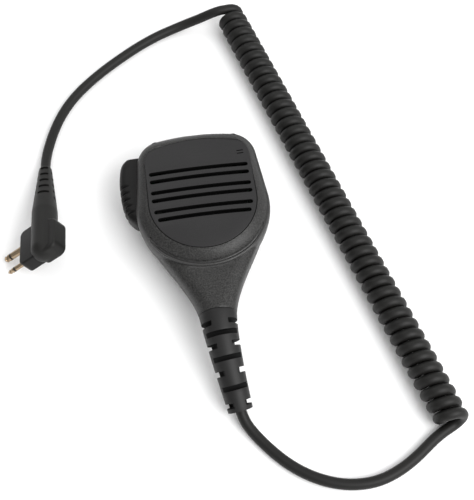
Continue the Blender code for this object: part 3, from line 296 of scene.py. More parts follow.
# %% Cord route
CORD_D = 5.2 * MM
COIL_D = 16.0 * MM
COIL_TURNS = 43.5
COIL_FAR = Vector((0.0310, 0.1305, 0.0))
COIL_NEAR = Vector((0.1002, -0.1215, 0.0))
COIL_R = (COIL_D - CORD_D) / 2
TURN_POINTS = 18
SWELL_POINTS = 2 * TURN_POINTS
CURL_SWELL = 1.09
COIL_LIFT = 0.05 * MM
COIL_AXIS_Z = COIL_D / 2 + (CURL_SWELL - 1.0) * CORD_D / 2 + COIL_LIFT
CORD_TUCK = 3 * MM
EASE_PASSES = 6
RELIEF_START = Vector((0.0, -0.0583, 0.0190))
RELIEF_END = Vector((0.0046, -0.1015, 0.0066))
RELIEF_BEND = RELIEF_START - Vector((0.0, 0.0140, 0.0))
PLUG_TAIL = Vector((-0.0788, 0.0428, 0.0050))
PLUG_NOSE = Vector((-0.0791, -0.0130, 0.0208))
LOWER_ROUTE = [
    (0.0076, -0.1095, 0.00340),
    (0.0116, -0.1156, 0.00265),
    (0.0170, -0.1223, 0.00265),
    (0.0238, -0.1293, 0.00265),
    (0.0318, -0.1351, 0.00265),
    (0.0398, -0.1391, 0.00265),
    (0.0485, -0.1415, 0.00265),
    (0.0575, -0.1420, 0.00265),
    (0.0671, -0.1402, 0.00265),
    (0.0773, -0.1356, 0.00265),
    (0.0865, -0.1296, 0.00265),
]
UPPER_ROUTE = [
    (-0.0781, 0.0535, 0.00265),
    (-0.0761, 0.0600, 0.00265),
    (-0.0731, 0.0689, 0.00265),
    (-0.0678, 0.0797, 0.00265),
    (-0.0603, 0.0902, 0.00265),
    (-0.0487, 0.1013, 0.00265),
    (-0.0355, 0.1113, 0.00265),
    (-0.0219, 0.1202, 0.00265),
    (-0.0099, 0.1264, 0.00265),
    (0.0015, 0.1300, 0.00360),
    (0.0110, 0.1306, 0.00700),
    (0.0186, 0.1296, 0.01100),
]


def smooth_route(points, spacing):
    """Points along a smooth curve through the given ones, about spacing apart."""
    padded = [2 * points[0] - points[1]] + points + [2 * points[-1] - points[-2]]
    out = [points[0]]
    for p0, p1, p2, p3 in zip(padded, padded[1:], padded[2:], padded[3:]):
        steps = max(1, round((p2 - p1).length / spacing))
        for i in range(1, steps + 1):
            t = i / steps
            out.append(((2 * p1) + (p2 - p0) * t + (2 * p0 - 5 * p1 + 4 * p2 - p3) * t ** 2
                        + (3 * p1 - p0 - 3 * p2 + p3) * t ** 3) / 2)
    return out


def eased(points, passes):
    """The same run with its corners eased, its ends kept."""
    for _ in range(passes):
        middles = [(a + 2 * b + c) / 4 for a, b, c in zip(points, points[1:], points[2:])]
        points = [points[0]] + middles + [points[-1]]
    return points


along = (COIL_NEAR - COIL_FAR).normalized()
across = along.cross(Vector((0, 0, -1)))
pitch = (COIL_NEAR - COIL_FAR).length / COIL_TURNS
climb = along * pitch / (math.tau * COIL_R)
near_way = (climb - across).normalized()
far_way = (climb + across).normalized()
near_end = COIL_NEAR + Vector((0, 0, COIL_AXIS_Z - COIL_R))
far_end = COIL_FAR + Vector((0, 0, COIL_AXIS_Z + COIL_R))
relief_way = (RELIEF_END - RELIEF_BEND).normalized()
tail_way = (PLUG_TAIL - PLUG_NOSE).normalized()
curls = []
swell = []
steps = round(COIL_TURNS * TURN_POINTS)
for i in range(steps + 1):
    turn = COIL_TURNS * (1 - i / steps)
    angle = math.tau * turn
    centre = COIL_FAR + along * pitch * turn + Vector((0, 0, COIL_AXIS_Z))
    curls.append(centre + COIL_R * (math.cos(angle) * Vector((0, 0, 1)) + math.sin(angle) * across))
    rise = min(1.0, i / SWELL_POINTS, (steps - i) / SWELL_POINTS)
    swell.append(1.0 + (CURL_SWELL - 1.0) * rise)
lower = [RELIEF_END - relief_way * CORD_TUCK, RELIEF_END + relief_way * CORD_D]
lower += [Vector(p) for p in LOWER_ROUTE]
lower += [near_end + near_way * 2 * CORD_D, near_end + near_way * CORD_D]
upper = [far_end - far_way * CORD_D, far_end - far_way * 2 * CORD_D]
upper += [Vector(p) for p in reversed(UPPER_ROUTE)]
upper += [PLUG_TAIL + tail_way * CORD_D, PLUG_TAIL - tail_way * CORD_TUCK]
lower_run = eased(smooth_route(lower, CORD_D / 2), EASE_PASSES)
upper_run = eased(smooth_route(upper, CORD_D / 2), EASE_PASSES)
route = lower_run + curls + upper_run


# %% Cord
def add_cable(name, points, shares, radius, finish, body, *replaced):
    """A round cable along one open spline, with each point's share of the radius."""
    curve = bpy.data.curves.new(name, "CURVE")
    curve.dimensions = "3D"
    curve.bevel_depth = radius
    curve.bevel_resolution = 6
    curve.use_fill_caps = True
    spline = curve.splines.new("POLY")
    spline.points.add(len(points) - 1)
    for target, point, share in zip(spline.points, points, shares):
        target.co = (*point, 1.0)
        target.radius = share
    spline.use_smooth = True
    curve.materials.append(finish)
    cable = bpy.data.objects.new(name, curve)
    scene.collection.objects.link(cable)
    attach(cable, body)
    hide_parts(*replaced)
    return cable


shares = [1.0] * len(lower_run) + swell + [1.0] * len(upper_run)
cord = add_cable("curly_cord", route, shares, CORD_D / 2, cord_rubber, "housing",
                 "cord_lower", "cord_coil", "cord_upper")

# %% [markdown]
# ## Shaping helpers
# Moulded pieces are lofts: outlines stacked up and bridged. An outline starts as a circle of vertices that
# is moved onto its curve, and bridging makes the skin, so no face is listed by hand. Openings are cut with
# booleans, as a mould's side cores would make them.


# %% Shaping helpers
def lofted(rings):
    """Skin a stack of closed outlines with as many points each, and close both ends."""
    bm = bmesh.new()
    loops = []
    for points in rings:
        made = bmesh.ops.create_circle(bm, segments=len(points), radius=1.0)["verts"]
        for vert, point in zip(made, points):
            vert.co = point
        loops.append(list({edge for vert in made for edge in vert.link_edges}))
    for below, above in zip(loops, loops[1:]):
        bmesh.ops.bridge_loops(bm, edges=below + above)
    for end in (loops[0], loops[-1]):
        bmesh.ops.edgeloop_fill(bm, edges=end)
    return bm


def round_turns(count):
    """Angles of points spaced evenly round a circle."""
    return [math.tau * i / count for i in range(count)]


def edge_levels(z, edge, steps, side=1):
    """(height, inset) levels of a rounded edge, from an end face at z to the wall on one side of it."""
    turns = [math.pi / 2 * i / steps for i in range(steps + 1)]
    return [(z + side * edge * (1 - math.cos(t)), edge * (1 - math.sin(t))) for t in turns]


def add_rod(bm, x, y, low, high, radius, count=32):
    """An upright rod."""
    place = Matrix.Translation((x, y, (low + high) / 2))
    size = {"radius1": radius, "radius2": radius, "depth": high - low}
    bmesh.ops.create_cone(bm, cap_ends=True, segments=count, matrix=place, **size)
    return bm


def add_box(bm, low, high):
    """A box between two corners."""
    middle = (Vector(low) + Vector(high)) / 2
    size = Vector(high) - Vector(low)
    place = Matrix.Translation(middle) @ Matrix.Diagonal((*size, 1.0))
    bmesh.ops.create_cube(bm, size=1.0, matrix=place)
    return bm


def as_object(name, bm, place=None):
    """A plain object from a bmesh, its place put into its mesh."""
    if place:
        bmesh.ops.transform(bm, matrix=place, verts=bm.verts)
    bmesh.ops.recalc_face_normals(bm, faces=bm.faces)
    mesh = bpy.data.meshes.new(name)
    bm.to_mesh(mesh)
    bm.free()
    item = bpy.data.objects.new(name, mesh)
    scene.collection.objects.link(item)
    return item


def apply_modifiers(item):
    """The object's mesh as its modifiers leave it."""
    shown = item.evaluated_get(bpy.context.evaluated_depsgraph_get())
    mesh = bpy.data.meshes.new_from_object(shown)
    item.modifiers.clear()
    old = item.data
    item.data = mesh
    bpy.data.meshes.remove(old)


def carve(item, operation, *tools):
    """Cut tools out of an object, or join them to it."""
    for tool in tools:
        step = item.modifiers.new(tool.name, "BOOLEAN")
        step.operation = operation
        step.solver = "EXACT"
        step.object = tool
    apply_modifiers(item)
    for tool in tools:
        bpy.data.objects.remove(tool, do_unlink=True)


def soften(item, width, angle):
    """Round the edges that are sharper than an angle, as every moulded edge is."""
    step = item.modifiers.new("soft_edges", "BEVEL")
    step.width = width
    step.segments = 2
    step.limit_method = "ANGLE"
    step.angle_limit = math.radians(angle)
    apply_modifiers(item)


def fuse(item, voxel, passes):
    """Make one even skin of an object's overlapping forms, and smooth it."""
    skin = item.modifiers.new("fuse", "REMESH")
    skin.mode = "VOXEL"
    skin.voxel_size = voxel
    ease = item.modifiers.new("ease", "SMOOTH")
    ease.factor = 0.5
    ease.iterations = passes
    apply_modifiers(item)


SHARP_ANGLE = math.radians(40.0)


def dress(item, finish, slot, body, *replaced):
    """Give a finished piece its material and its body."""
    item.data.materials.clear()
    item.data.materials.append(finish)
    item.data.shade_smooth()
    item.data.set_sharp_from_angle(angle=SHARP_ANGLE)
    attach(item, body)
    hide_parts(*replaced)
    print(item.name, len(item.data.polygons), "faces")
    return item


def paint(item, finish, chosen):
    """Give a dressed piece a second material on the faces that a test picks."""
    item.data.materials.append(finish)
    for face in item.data.polygons:
        if chosen(face):
            face.material_index = 1


# %% [markdown]
# ## The housing
# The housing is two moulded halves that meet at the widest part: a rounded body for the speaker and a neck
# that narrows to the cord. Its plan is a band round some circles, drawn in as it rises to the bezel.
# Body and neck are lofted apart, then fused by a voxel remesh and smoothed, which leaves the soft hollow
# where they meet. A groove and a thin lip run along the lower edge of the body, and the lip is painted a
# lighter grey as a painted highlight. The form is then split at the parting line, and the halves are hollowed
# and pierced.

# %% Housing sizes
GAP = 0.3 * MM
WALL = 2.4 * MM
BACK_Z = 10.0 * MM
PARTING_Z = 19.0 * MM
RIM_Z = 34.0 * MM
PANEL_MARGIN = 6.8 * MM
ROUND_R = 33.0 * MM
ROUND_Y = -3.0 * MM
CORNER_R = 13.5 * MM
CORNER_X = 16.9 * MM
CORNER_Y = 23.3 * MM
TOP_Y = 38.3 * MM
NECK_END_Y = -58.0 * MM
NECK_R = 9.1 * MM
NECK_SPREAD = 23.3 * MM
NECK_LENGTH = 58.0 * MM
NECK_TOP_Z = PARTING_Z + NECK_R
PANEL_TOP_Z = RIM_Z - 0.1 * MM
PANEL_T = 2.2 * MM
PANEL_Z = PANEL_TOP_Z - PANEL_T
PANEL_LEDGE = 2.0 * MM
LEDGE_Z = PANEL_Z - GAP
CEILING_Z = LEDGE_Z - 1.8 * MM
FLOOR_Z = BACK_Z + 2.0 * MM
PANEL_CORNER_R = 7.5 * MM
PANEL_CORNER_OUT = 2.4 * MM
PANEL_CORNER_DROP = 1.2 * MM
PANEL_CORNER_X = CORNER_X + CORNER_R - PANEL_MARGIN + PANEL_CORNER_OUT - PANEL_CORNER_R
PANEL_CORNER_Y = CORNER_Y + CORNER_R - PANEL_MARGIN - PANEL_CORNER_DROP - PANEL_CORNER_R
ARCH_STEPS = ((1.0, 0.0), (0.75, 0.44), (0.5, 0.75), (0.25, 0.94))
OUTLINE_POINTS = 144
HOLLOW_POINTS = 96
NECK_POINTS = 72


def arched_circles(round_r, x, y, corner_r, top_y):
    """Circles for a band that is round below, with two upper corners and an arched edge between them."""
    rise = top_y - y - corner_r
    circles = [(0.0, ROUND_Y, round_r)]
    for share, height in ARCH_STEPS:
        circles += [(share * x, y + height * rise, corner_r), (-share * x, y + height * rise, corner_r)]
    circles.append((0.0, y + rise, corner_r))
    return circles


BODY_CIRCLES = arched_circles(ROUND_R, CORNER_X, CORNER_Y, CORNER_R, TOP_Y)
PANEL_CIRCLES = arched_circles(ROUND_R - PANEL_MARGIN, PANEL_CORNER_X, PANEL_CORNER_Y,
                               PANEL_CORNER_R, TOP_Y - PANEL_MARGIN)
VOXEL = 0.5 * MM


def band_outline(circles, inset, z, count=OUTLINE_POINTS):
    """A band drawn tight round some circles, moved in by inset."""
    points = []
    for i in range(count):
        angle = math.tau * (i + 0.5) / count
        way = Vector((math.cos(angle), math.sin(angle)))
        x, y, r = max(circles, key=lambda c: c[0] * way.x + c[1] * way.y + c[2])
        points.append(Vector((x + (r - inset) * way.x, y + (r - inset) * way.y, z)))
    return points


def band_loft(circles, levels, count=OUTLINE_POINTS):
    """A loft of a band at (height, inset) levels."""
    return lofted([band_outline(circles, inset, z, count) for z, inset in levels])


def lift(share):
    """A height between the parting line and the rim."""
    return PARTING_Z + share * (RIM_Z - PARTING_Z)


def fair_levels(levels, count):
    """More (height, inset) levels on a smooth curve through the given ones."""
    points = [Vector((z, inset, 0.0)) for z, inset in levels]
    reach = sum((b - a).length for a, b in zip(points, points[1:]))
    return [(p.x, p.y) for p in smooth_route(points, reach / count)]


def neck_rings(inset, end_y, stations):
    """Upright sections of the neck, rounded boxes that become a circle at the cord."""
    rings = []
    for i in range(stations):
        y = end_y + (NECK_END_Y + NECK_LENGTH - end_y) * i / (stations - 1)
        share = (y - NECK_END_Y) / NECK_LENGTH
        flare = share * (0.5 + 2.0 * share - 1.5 * share ** 2)
        half_w = NECK_R + NECK_SPREAD * min(flare, 1.0) - inset
        half_h = NECK_R - inset
        power = 2.0 / (2.0 + 2.4 * min(1.0, share * 1.6))
        points = []
        for k in range(NECK_POINTS):
            angle = math.tau * (k + 0.5) / NECK_POINTS
            c, s = math.cos(angle), math.sin(angle)
            x = half_w * math.copysign(abs(c) ** power, c)
            points.append(Vector((x, y, PARTING_Z + half_h * math.copysign(abs(s) ** power, s))))
        rings.append(points)
    return rings


# %% Housing form
depth = PARTING_Z - BACK_Z
OUTER_LEVELS = (
    (BACK_Z, 5.0 * MM),
    (BACK_Z + 0.12 * depth, 3.0 * MM),
    (BACK_Z + 0.36 * depth, 1.4 * MM),
    (PARTING_Z, 0.4 * MM),
    (lift(0.33), 0.0),
    (lift(0.60), 0.7 * MM),
    (lift(0.78), 2.1 * MM),
    (lift(0.92), 4.4 * MM),
    (RIM_Z, PANEL_MARGIN - 0.2 * MM),
)
room = PARTING_Z - FLOOR_Z
INNER_LEVELS = (
    (FLOOR_Z, 4.2 * MM + WALL),
    (FLOOR_Z + 0.3 * room, 1.7 * MM + WALL),
    (PARTING_Z, 0.4 * MM + WALL),
    (lift(0.33), WALL),
    (lift(0.55), 0.9 * MM + WALL),
    (CEILING_Z, 4.0 * MM + WALL),
)
# The lower edge of the body, in degrees round it
EDGE_FROM = 208
EDGE_TO = 333
EDGE_FADE = 22.0
EDGE_THIN = 0.3
EDGE_POINTS = 14
EDGE_GROOVE_Z = NECK_TOP_Z + 2.0 * MM
EDGE_GROOVE_INSET = 0.3 * MM
EDGE_GROOVE_R = 1.5 * MM
LIP_Z = NECK_TOP_Z + 0.3 * MM
LIP_INSET = 0.2 * MM
LIP_R = 0.7 * MM


def edge_tube(name, z, inset, radius):
    """A tube along the lower edge of the body, thinning out and sinking in at both ends."""
    outline = band_outline(BODY_CIRCLES, inset, z, count=360)
    path = outline[EDGE_FROM:EDGE_TO]
    rings = []
    for i in range(1, len(path) - 1):
        way = (path[i + 1] - path[i - 1]).normalized()
        ease = min(1.0, min(i, len(path) - 1 - i) / EDGE_FADE)
        out = way.cross(Vector((0, 0, 1)))
        centre = path[i] - out * (1 - ease) * radius
        size = radius * (EDGE_THIN + (1 - EDGE_THIN) * ease)
        turns = round_turns(EDGE_POINTS)
        rings.append([centre + size * (math.cos(t) * out + Vector((0, 0, math.sin(t)))) for t in turns])
    return as_object(name, lofted(rings))


form = as_object("housing_form", band_loft(BODY_CIRCLES, fair_levels(OUTER_LEVELS, count=30)))
carve(form, "UNION", as_object("neck_form", lofted(neck_rings(0.0, NECK_END_Y, stations=36))))
fuse(form, VOXEL, passes=5)
carve(form, "DIFFERENCE", edge_tube("edge_groove", EDGE_GROOVE_Z, EDGE_GROOVE_INSET, EDGE_GROOVE_R))
carve(form, "UNION", edge_tube("edge_lip", LIP_Z, LIP_INSET, LIP_R))
print("housing form", len(form.data.polygons), "faces")


# %% [markdown]
# The two halves share one form. Each is the form cut at the parting line, with a hair's gap between them
# that shows as a fine dark line round the housing.

# %% Housing halves
PTT_Y0 = -6.5 * MM
PTT_Y1 = 32.3 * MM
PTT_Z0 = 14.0 * MM
PTT_Z1 = 24.5 * MM
PTT_PROUD = 7.0 * MM
PTT_INNER_X = -25.9 * MM
PTT_TRAVEL = 1.2 * MM
SCREW_PLACES = ((-0.0195, 0.0316), (0.0195, 0.0316), (-0.0130, -0.0270), (0.0130, -0.0270))
BOARD_POSTS = ((-0.0150, 0.0150), (0.0150, 0.0150), (-0.0150, -0.0140), (0.0150, -0.0140))
BOARD_Z = 16.0 * MM
SCREW_R = 1.1 * MM
SCREW_HEAD_R = 2.3 * MM
SCREW_HEAD_H = 1.8 * MM
SCREW_TIP_Z = 26.0 * MM
BOSS_R = 2.6 * MM
BOSS_TOP_Z = lift(0.82)
POST_WALL = 0.6 * MM
POST_FOOT_Z = FLOOR_Z - 1.0 * MM
BOARD_POST_R = 2.0 * MM
SWIVEL_R = 1.5 * MM
SWIVEL_BOSS_R = 5.0 * MM
RELIEF_STUB_R = 4.7 * MM
WINDOW_CORNER = 1.2 * MM
SEAM = 0.15 * MM
RECESS_EDGE = 0.35 * MM
RECESS_FLARE = SEAM + RECESS_EDGE + GAP
RECESS_LEVELS = (
    (LEDGE_Z, -SEAM),
    (PANEL_TOP_Z - RECESS_EDGE, -SEAM),
    (RIM_Z + GAP, -RECESS_FLARE),
    (RIM_Z + WALL, -RECESS_FLARE),
)
OPENING_LEVELS = ((CEILING_Z - WALL, PANEL_LEDGE), (LEDGE_Z + GAP, PANEL_LEDGE))


def half_of(form, name, upper):
    """A copy of the form on one side of the parting line, closed at the cut."""
    bm = bmesh.new()
    bm.from_mesh(form.data)
    plane = PARTING_Z + (GAP / 2 if upper else -GAP / 2)
    everything = bm.verts[:] + bm.edges[:] + bm.faces[:]
    bmesh.ops.bisect_plane(bm, geom=everything, plane_co=(0, 0, plane), plane_no=(0, 0, 1),
                           clear_inner=upper, clear_outer=not upper)
    bmesh.ops.holes_fill(bm, edges=[edge for edge in bm.edges if edge.is_boundary])
    return as_object(name, bm)


def rods(name, places, low, high, radius):
    """Upright rods at some places, as one object."""
    bm = bmesh.new()
    for x, y in places:
        add_rod(bm, x, y, low, high, radius)
    return as_object(name, bm)


def hollow_tools():
    """The room inside the body, and the room inside the neck."""
    body = band_loft(BODY_CIRCLES, fair_levels(INNER_LEVELS, count=16), HOLLOW_POINTS)
    neck = lofted(neck_rings(WALL, NECK_END_Y + WALL, stations=18))
    return as_object("body_hollow", body), as_object("neck_hollow", neck)


def shared_openings():
    """The talk button's window and the round hole for the strain relief."""
    side = -ROUND_R - PTT_PROUD - WALL
    window = add_box(bmesh.new(), (side, PTT_Y0 - GAP, PTT_Z0 - GAP),
                     (PTT_INNER_X + PTT_TRAVEL + GAP, PTT_Y1 + GAP, PTT_Z1 + GAP))
    crosswise = [edge for edge in window.edges if abs(edge.verts[0].co.x - edge.verts[1].co.x) > MM]
    bmesh.ops.bevel(window, geom=crosswise, offset=WINDOW_CORNER, segments=4, profile=0.5,
                    affect="EDGES", material=-1)
    middle = Matrix.Translation((0, NECK_END_Y + WALL / 2, PARTING_Z))
    lay = middle @ Matrix.Rotation(math.pi / 2, 4, "X")
    hole = add_rod(bmesh.new(), 0, 0, -WALL, WALL, RELIEF_STUB_R + GAP, count=48)
    return as_object("button_window", window), as_object("relief_hole", hole, lay)


def on_lip(face):
    """Whether a face lies on the lip along the body's lower edge."""
    way = face.center.xy - Vector((0.0, ROUND_Y))
    angle = math.atan2(way.y, way.x) % math.tau
    near = abs(way.length - ROUND_R) < 2 * LIP_R and abs(face.center.z - LIP_Z) < LIP_R
    return near and math.radians(EDGE_FROM) < angle < math.radians(EDGE_TO)


front = half_of(form, "front_shell", True)
carve(front, "DIFFERENCE", *hollow_tools())
carve(front, "UNION", rods("front_bosses", SCREW_PLACES, PARTING_Z + GAP, BOSS_TOP_Z, BOSS_R))
recess = as_object("panel_recess", band_loft(PANEL_CIRCLES, RECESS_LEVELS))
opening = as_object("panel_opening", band_loft(PANEL_CIRCLES, OPENING_LEVELS))
pilots = rods("front_pilots", SCREW_PLACES, PARTING_Z - GAP, SCREW_TIP_Z + GAP, SCREW_R + GAP)
carve(front, "DIFFERENCE", recess, opening, pilots, *shared_openings())
dress(front, grained, "housing_plastic", "housing", "front_housing")
# The lip's faces get the lighter grey: a painted highlight along the body's lower edge.
paint(front, lip_painted_highlight, on_lip)

# %% Rear half
rear = half_of(form, "rear_shell", False)
carve(rear, "DIFFERENCE", *hollow_tools())
posts = rods("screw_posts", SCREW_PLACES, POST_FOOT_Z, PARTING_Z - GAP, BOSS_R + POST_WALL)
board_posts = rods("board_posts", BOARD_POSTS, POST_FOOT_Z, BOARD_Z - GAP, BOARD_POST_R)
swivel_boss = rods("swivel_boss", ((0, 0),), POST_FOOT_Z, BOARD_Z - 2 * GAP, SWIVEL_BOSS_R)
carve(rear, "UNION", posts, board_posts, swivel_boss)
screw_holes = rods("screw_holes", SCREW_PLACES, BACK_Z - WALL, PARTING_Z + WALL, SCREW_R + GAP)
swivel_hole = rods("swivel_hole", ((0, 0),), BACK_Z - WALL, BOARD_Z, SWIVEL_R + GAP)
wells = rods("screw_wells", SCREW_PLACES, BACK_Z - WALL, BACK_Z + SCREW_HEAD_H + 3 * GAP, SCREW_HEAD_R + GAP)
carve(rear, "DIFFERENCE", screw_holes, swivel_hole, wells, *shared_openings())
dress(rear, grained, "housing_plastic", "housing", "rear_housing")
bpy.data.objects.remove(form, do_unlink=True)

# %% [markdown]
# ## The speaker panel
# A separate smooth panel is let into the bezel, with a fine gap round it. Three pairs of arched slots let the
# sound out, and two slits near the top corner let it in to the microphone. The slots are cut right through,
# so the cloth behind them shows as a deeper black, and their walls are painted near black as painted shade.

# %% Speaker panel
SLOT_W = 2.15 * MM
SLOT_SAG = 0.6 * MM
SLOT_TOP_Y = 14.4 * MM
SLOT_PAIR_PITCH = 10.7 * MM
SLOT_STEP = 4.4 * MM
SLOT_MARGIN = 1.6 * MM
SLOT_PAIRS = 3
MIC_PORT_X = 21.6 * MM
MIC_PORT_Y = 21.2 * MM
MIC_PORT_W = 3.2 * MM
MIC_PORT_H = 0.8 * MM
MIC_SLIT_SHARE = 0.32
PANEL_EDGE = 0.4 * MM
PANEL_EDGE_MID = 0.12 * MM
PANEL_LEVELS = (
    (PANEL_Z, 0.0),
    (PANEL_TOP_Z - PANEL_EDGE, 0.0),
    (PANEL_TOP_Z - PANEL_EDGE_MID, PANEL_EDGE_MID),
    (PANEL_TOP_Z, PANEL_EDGE),
)
PANEL_WAYS = [Vector((math.cos(t), math.sin(t))) for t in round_turns(72)]
PANEL_REACHES = [max(x * way.x + y * way.y + r for x, y, r in PANEL_CIRCLES) for way in PANEL_WAYS]
RIM_INSET = 1.0 * MM
WALL_SLOPE = 0.6


def arched_slot(y, half_length):
    """A slot along a shallow arch with round ends, as a cutter through the panel."""
    radius = (half_length ** 2 + SLOT_SAG ** 2) / (2 * SLOT_SAG)
    reach = math.asin(half_length / radius)
    centre_y = y - radius
    sides = 20
    ends = 6
    outline = []
    for sign in (1, -1):
        for i in range(sides + 1):
            angle = sign * reach * (1 - 2 * i / sides)
            outline.append((angle, radius + sign * SLOT_W / 2))
        for i in range(1, ends):
            turn = math.pi * i / ends
            bulge = SLOT_W / 2 * math.sin(turn) / radius
            outline.append((-sign * (reach + bulge), radius + sign * SLOT_W / 2 * math.cos(turn)))
    rings = []
    for z in (PANEL_Z - WALL, PANEL_TOP_Z + WALL):
        rings.append([Vector((r * math.sin(a), centre_y + r * math.cos(a), z)) for a, r in outline])
    return lofted(rings)


def panel_half_width(y):
    """Half the panel's width at a height y on it, read off its outline."""
    points = band_outline(PANEL_CIRCLES, 0.0, 0.0)
    widths = []
    for a, b in zip(points, points[1:] + points[:1]):
        if min(a.y, b.y) <= y < max(a.y, b.y):
            widths.append(a.x + (b.x - a.x) * (y - a.y) / (b.y - a.y))
    return max(widths)


def in_slot(face):
    """Whether a face is a wall of a slot or a slit, and not of the panel's own rim."""
    inset = min(reach - way.dot(face.center.xy) for way, reach in zip(PANEL_WAYS, PANEL_REACHES))
    return abs(face.normal.z) < WALL_SLOPE and inset > RIM_INSET


panel = as_object("speaker_panel", band_loft(PANEL_CIRCLES, PANEL_LEVELS))
slots = []
for pair in range(SLOT_PAIRS):
    for row in range(2):
        y = SLOT_TOP_Y - pair * SLOT_PAIR_PITCH - row * SLOT_STEP
        half_width = min(panel_half_width(y), panel_half_width(y - SLOT_SAG - SLOT_W / 2))
        half_length = half_width - SLOT_MARGIN - SLOT_W / 2
        slots.append(as_object(f"slot_{pair}_{row}", arched_slot(y, half_length)))
slits = bmesh.new()
for row in (-1, 1):
    y = MIC_PORT_Y + row * MIC_PORT_H
    half = MIC_SLIT_SHARE * MIC_PORT_H
    add_box(slits, (MIC_PORT_X - MIC_PORT_W / 2, y - half, PANEL_Z - WALL),
            (MIC_PORT_X + MIC_PORT_W / 2, y + half, PANEL_TOP_Z + WALL))
carve(panel, "DIFFERENCE", *slots, as_object("mic_slits", slits))
soften(panel, width=0.15 * MM, angle=60.0)
dress(panel, panel_skin, "panel_plastic", "housing", "speaker_grille")
# The slot walls are painted near black as painted shade.
paint(panel, slot_painted_shade, in_slot)

# %% [markdown]
# ## The talk button
# The talk button is a long bar in the left side that the fingers squeeze. Its outer face bulges, its ends
# fall away into the window, and grooves across it keep wet fingers from slipping. The groove floors get a
# duller, near-black finish as painted shade.

# %% Talk button
PTT_BULGE = 2.4 * MM
PTT_END_FALL = 4.6 * MM
PTT_TOP_POWER = 10
PTT_LOW_POWER = 5
PTT_CREST = (PTT_Y0 + PTT_Y1) / 2 + 2.5 * MM
PTT_LOW_EDGE = 2.0 * MM
PTT_TOP_EDGE = 4.6 * MM
PTT_EDGE_STEPS = 8
PTT_POINTS = 160
GROOVE_W = 2.4 * MM
GROOVE_PITCH = 3.7 * MM
GROOVE_DEPTH = 1.3 * MM
GROOVE_MID = PTT_Y0 + 0.36 * (PTT_Y1 - PTT_Y0)
GROOVES = [GROOVE_MID + i * GROOVE_PITCH for i in range(-2, 3)]
GROOVE_SHADE = 0.6


def groove_share(y):
    """How deep a groove is at y, from 0 on a rib to 1 along the groove's floor."""
    off = min(abs(y - groove) for groove in GROOVES)
    return 0.5 + 0.5 * math.cos(math.tau * min(off / GROOVE_W, 0.5))


def button_outline(z, inset):
    """The button's section at a height: its bulging, grooved outer face and its flat inner one."""
    points = []
    for i in range(PTT_POINTS + 1):
        y = PTT_Y1 + (PTT_Y0 - PTT_Y1) * i / PTT_POINTS
        above = y > PTT_CREST
        span = PTT_Y1 - PTT_CREST if above else PTT_CREST - PTT_Y0
        power = PTT_TOP_POWER if above else PTT_LOW_POWER
        reach = abs(y - PTT_CREST) / span
        fall = PTT_BULGE * reach ** 2 + PTT_END_FALL * reach ** power
        x = -ROUND_R - PTT_PROUD + fall + inset + GROOVE_DEPTH * groove_share(y)
        end_inset = min(inset, PTT_LOW_EDGE)
        points.append(Vector((x, min(max(y, PTT_Y0 + end_inset), PTT_Y1 - end_inset), z)))
    points.append(Vector((PTT_INNER_X, points[-1].y, z)))
    points.append(Vector((PTT_INNER_X, points[0].y, z)))
    return points


def in_groove(face):
    """Whether a face looks outwards from the floor of a groove."""
    outward = abs(face.normal.z) < 0.95 and face.normal.x < -0.1
    return outward and groove_share(face.center.y) > GROOVE_SHADE


levels = edge_levels(PTT_Z0, PTT_LOW_EDGE, PTT_EDGE_STEPS)
levels += reversed(edge_levels(PTT_Z1, PTT_TOP_EDGE, PTT_EDGE_STEPS, side=-1))
button = as_object("talk_button", lofted([button_outline(z, inset) for z, inset in levels]))
dress(button, button_skin, "button_plastic", "ptt", "ptt_button")
# The groove floors get the duller, near-black pocket finish as painted shade.
paint(button, pocket_painted_shade, in_groove)

# %% [markdown]
# ## The strain relief
# Where the cord leaves the neck, a rubber sleeve keeps it from kinking. Cut-outs from the sides and from
# above and below take turns along it, so it bends evenly in every direction. Those from the sides stop short
# of its underside. Their walls are painted near black as painted shade.

# %% Strain relief
RELIEF_START_R = 9.0 * MM
RELIEF_END_R = 5.9 * MM
RELIEF_FLANGE_R = 6.2 * MM
RELIEF_FLANGE_T = 1.8 * MM
RELIEF_INSIDE_Y = NECK_END_Y + WALL + GAP
RELIEF_STUB = (
    (RELIEF_INSIDE_Y + RELIEF_FLANGE_T, RELIEF_FLANGE_R),
    (RELIEF_INSIDE_Y, RELIEF_FLANGE_R),
    (RELIEF_INSIDE_Y, RELIEF_STUB_R),
    (NECK_END_Y - GAP, RELIEF_STUB_R),
)
RELIEF_STEPS = 24
RELIEF_POINTS = 64
RELIEF_WEB = 0.46
RELIEF_POCKET = 0.70
RELIEF_CUTS = 7
RELIEF_CUT_START = 7.5 * MM
RELIEF_CUT_PITCH = 5.9 * MM
RELIEF_CUT_W = 2.4 * MM
RELIEF_SKIN = 0.93
RELIEF_MARKS = 60


def relief_axis(share):
    """A place on the sleeve's bent axis, and the axis's direction there."""
    a, b = RELIEF_START.lerp(RELIEF_BEND, share), RELIEF_BEND.lerp(RELIEF_END, share)
    return a.lerp(b, share), (b - a).normalized()


def relief_radius(share):
    """The sleeve's radius along its axis."""
    return RELIEF_START_R + (RELIEF_END_R - RELIEF_START_R) * share


def square_axes(way):
    """Two directions square to a way: a level one, and one that points up."""
    side = way.cross(Vector((0, 0, 1))).normalized()
    return side, side.cross(way)


def square_ring(centre, way, radius):
    """A circle of points square to a direction."""
    side, up = square_axes(way)
    turns = round_turns(RELIEF_POINTS)
    return [centre + radius * (math.cos(t) * side + math.sin(t) * up) for t in turns]


def in_pocket(face):
    """Whether a face lies deeper than the sleeve's skin, as the walls of its cut-outs do."""
    away, radius = min(((face.center - centre).length, radius) for centre, radius in marks)
    return away < RELIEF_SKIN * radius and face.center.y < RELIEF_START.y - MM


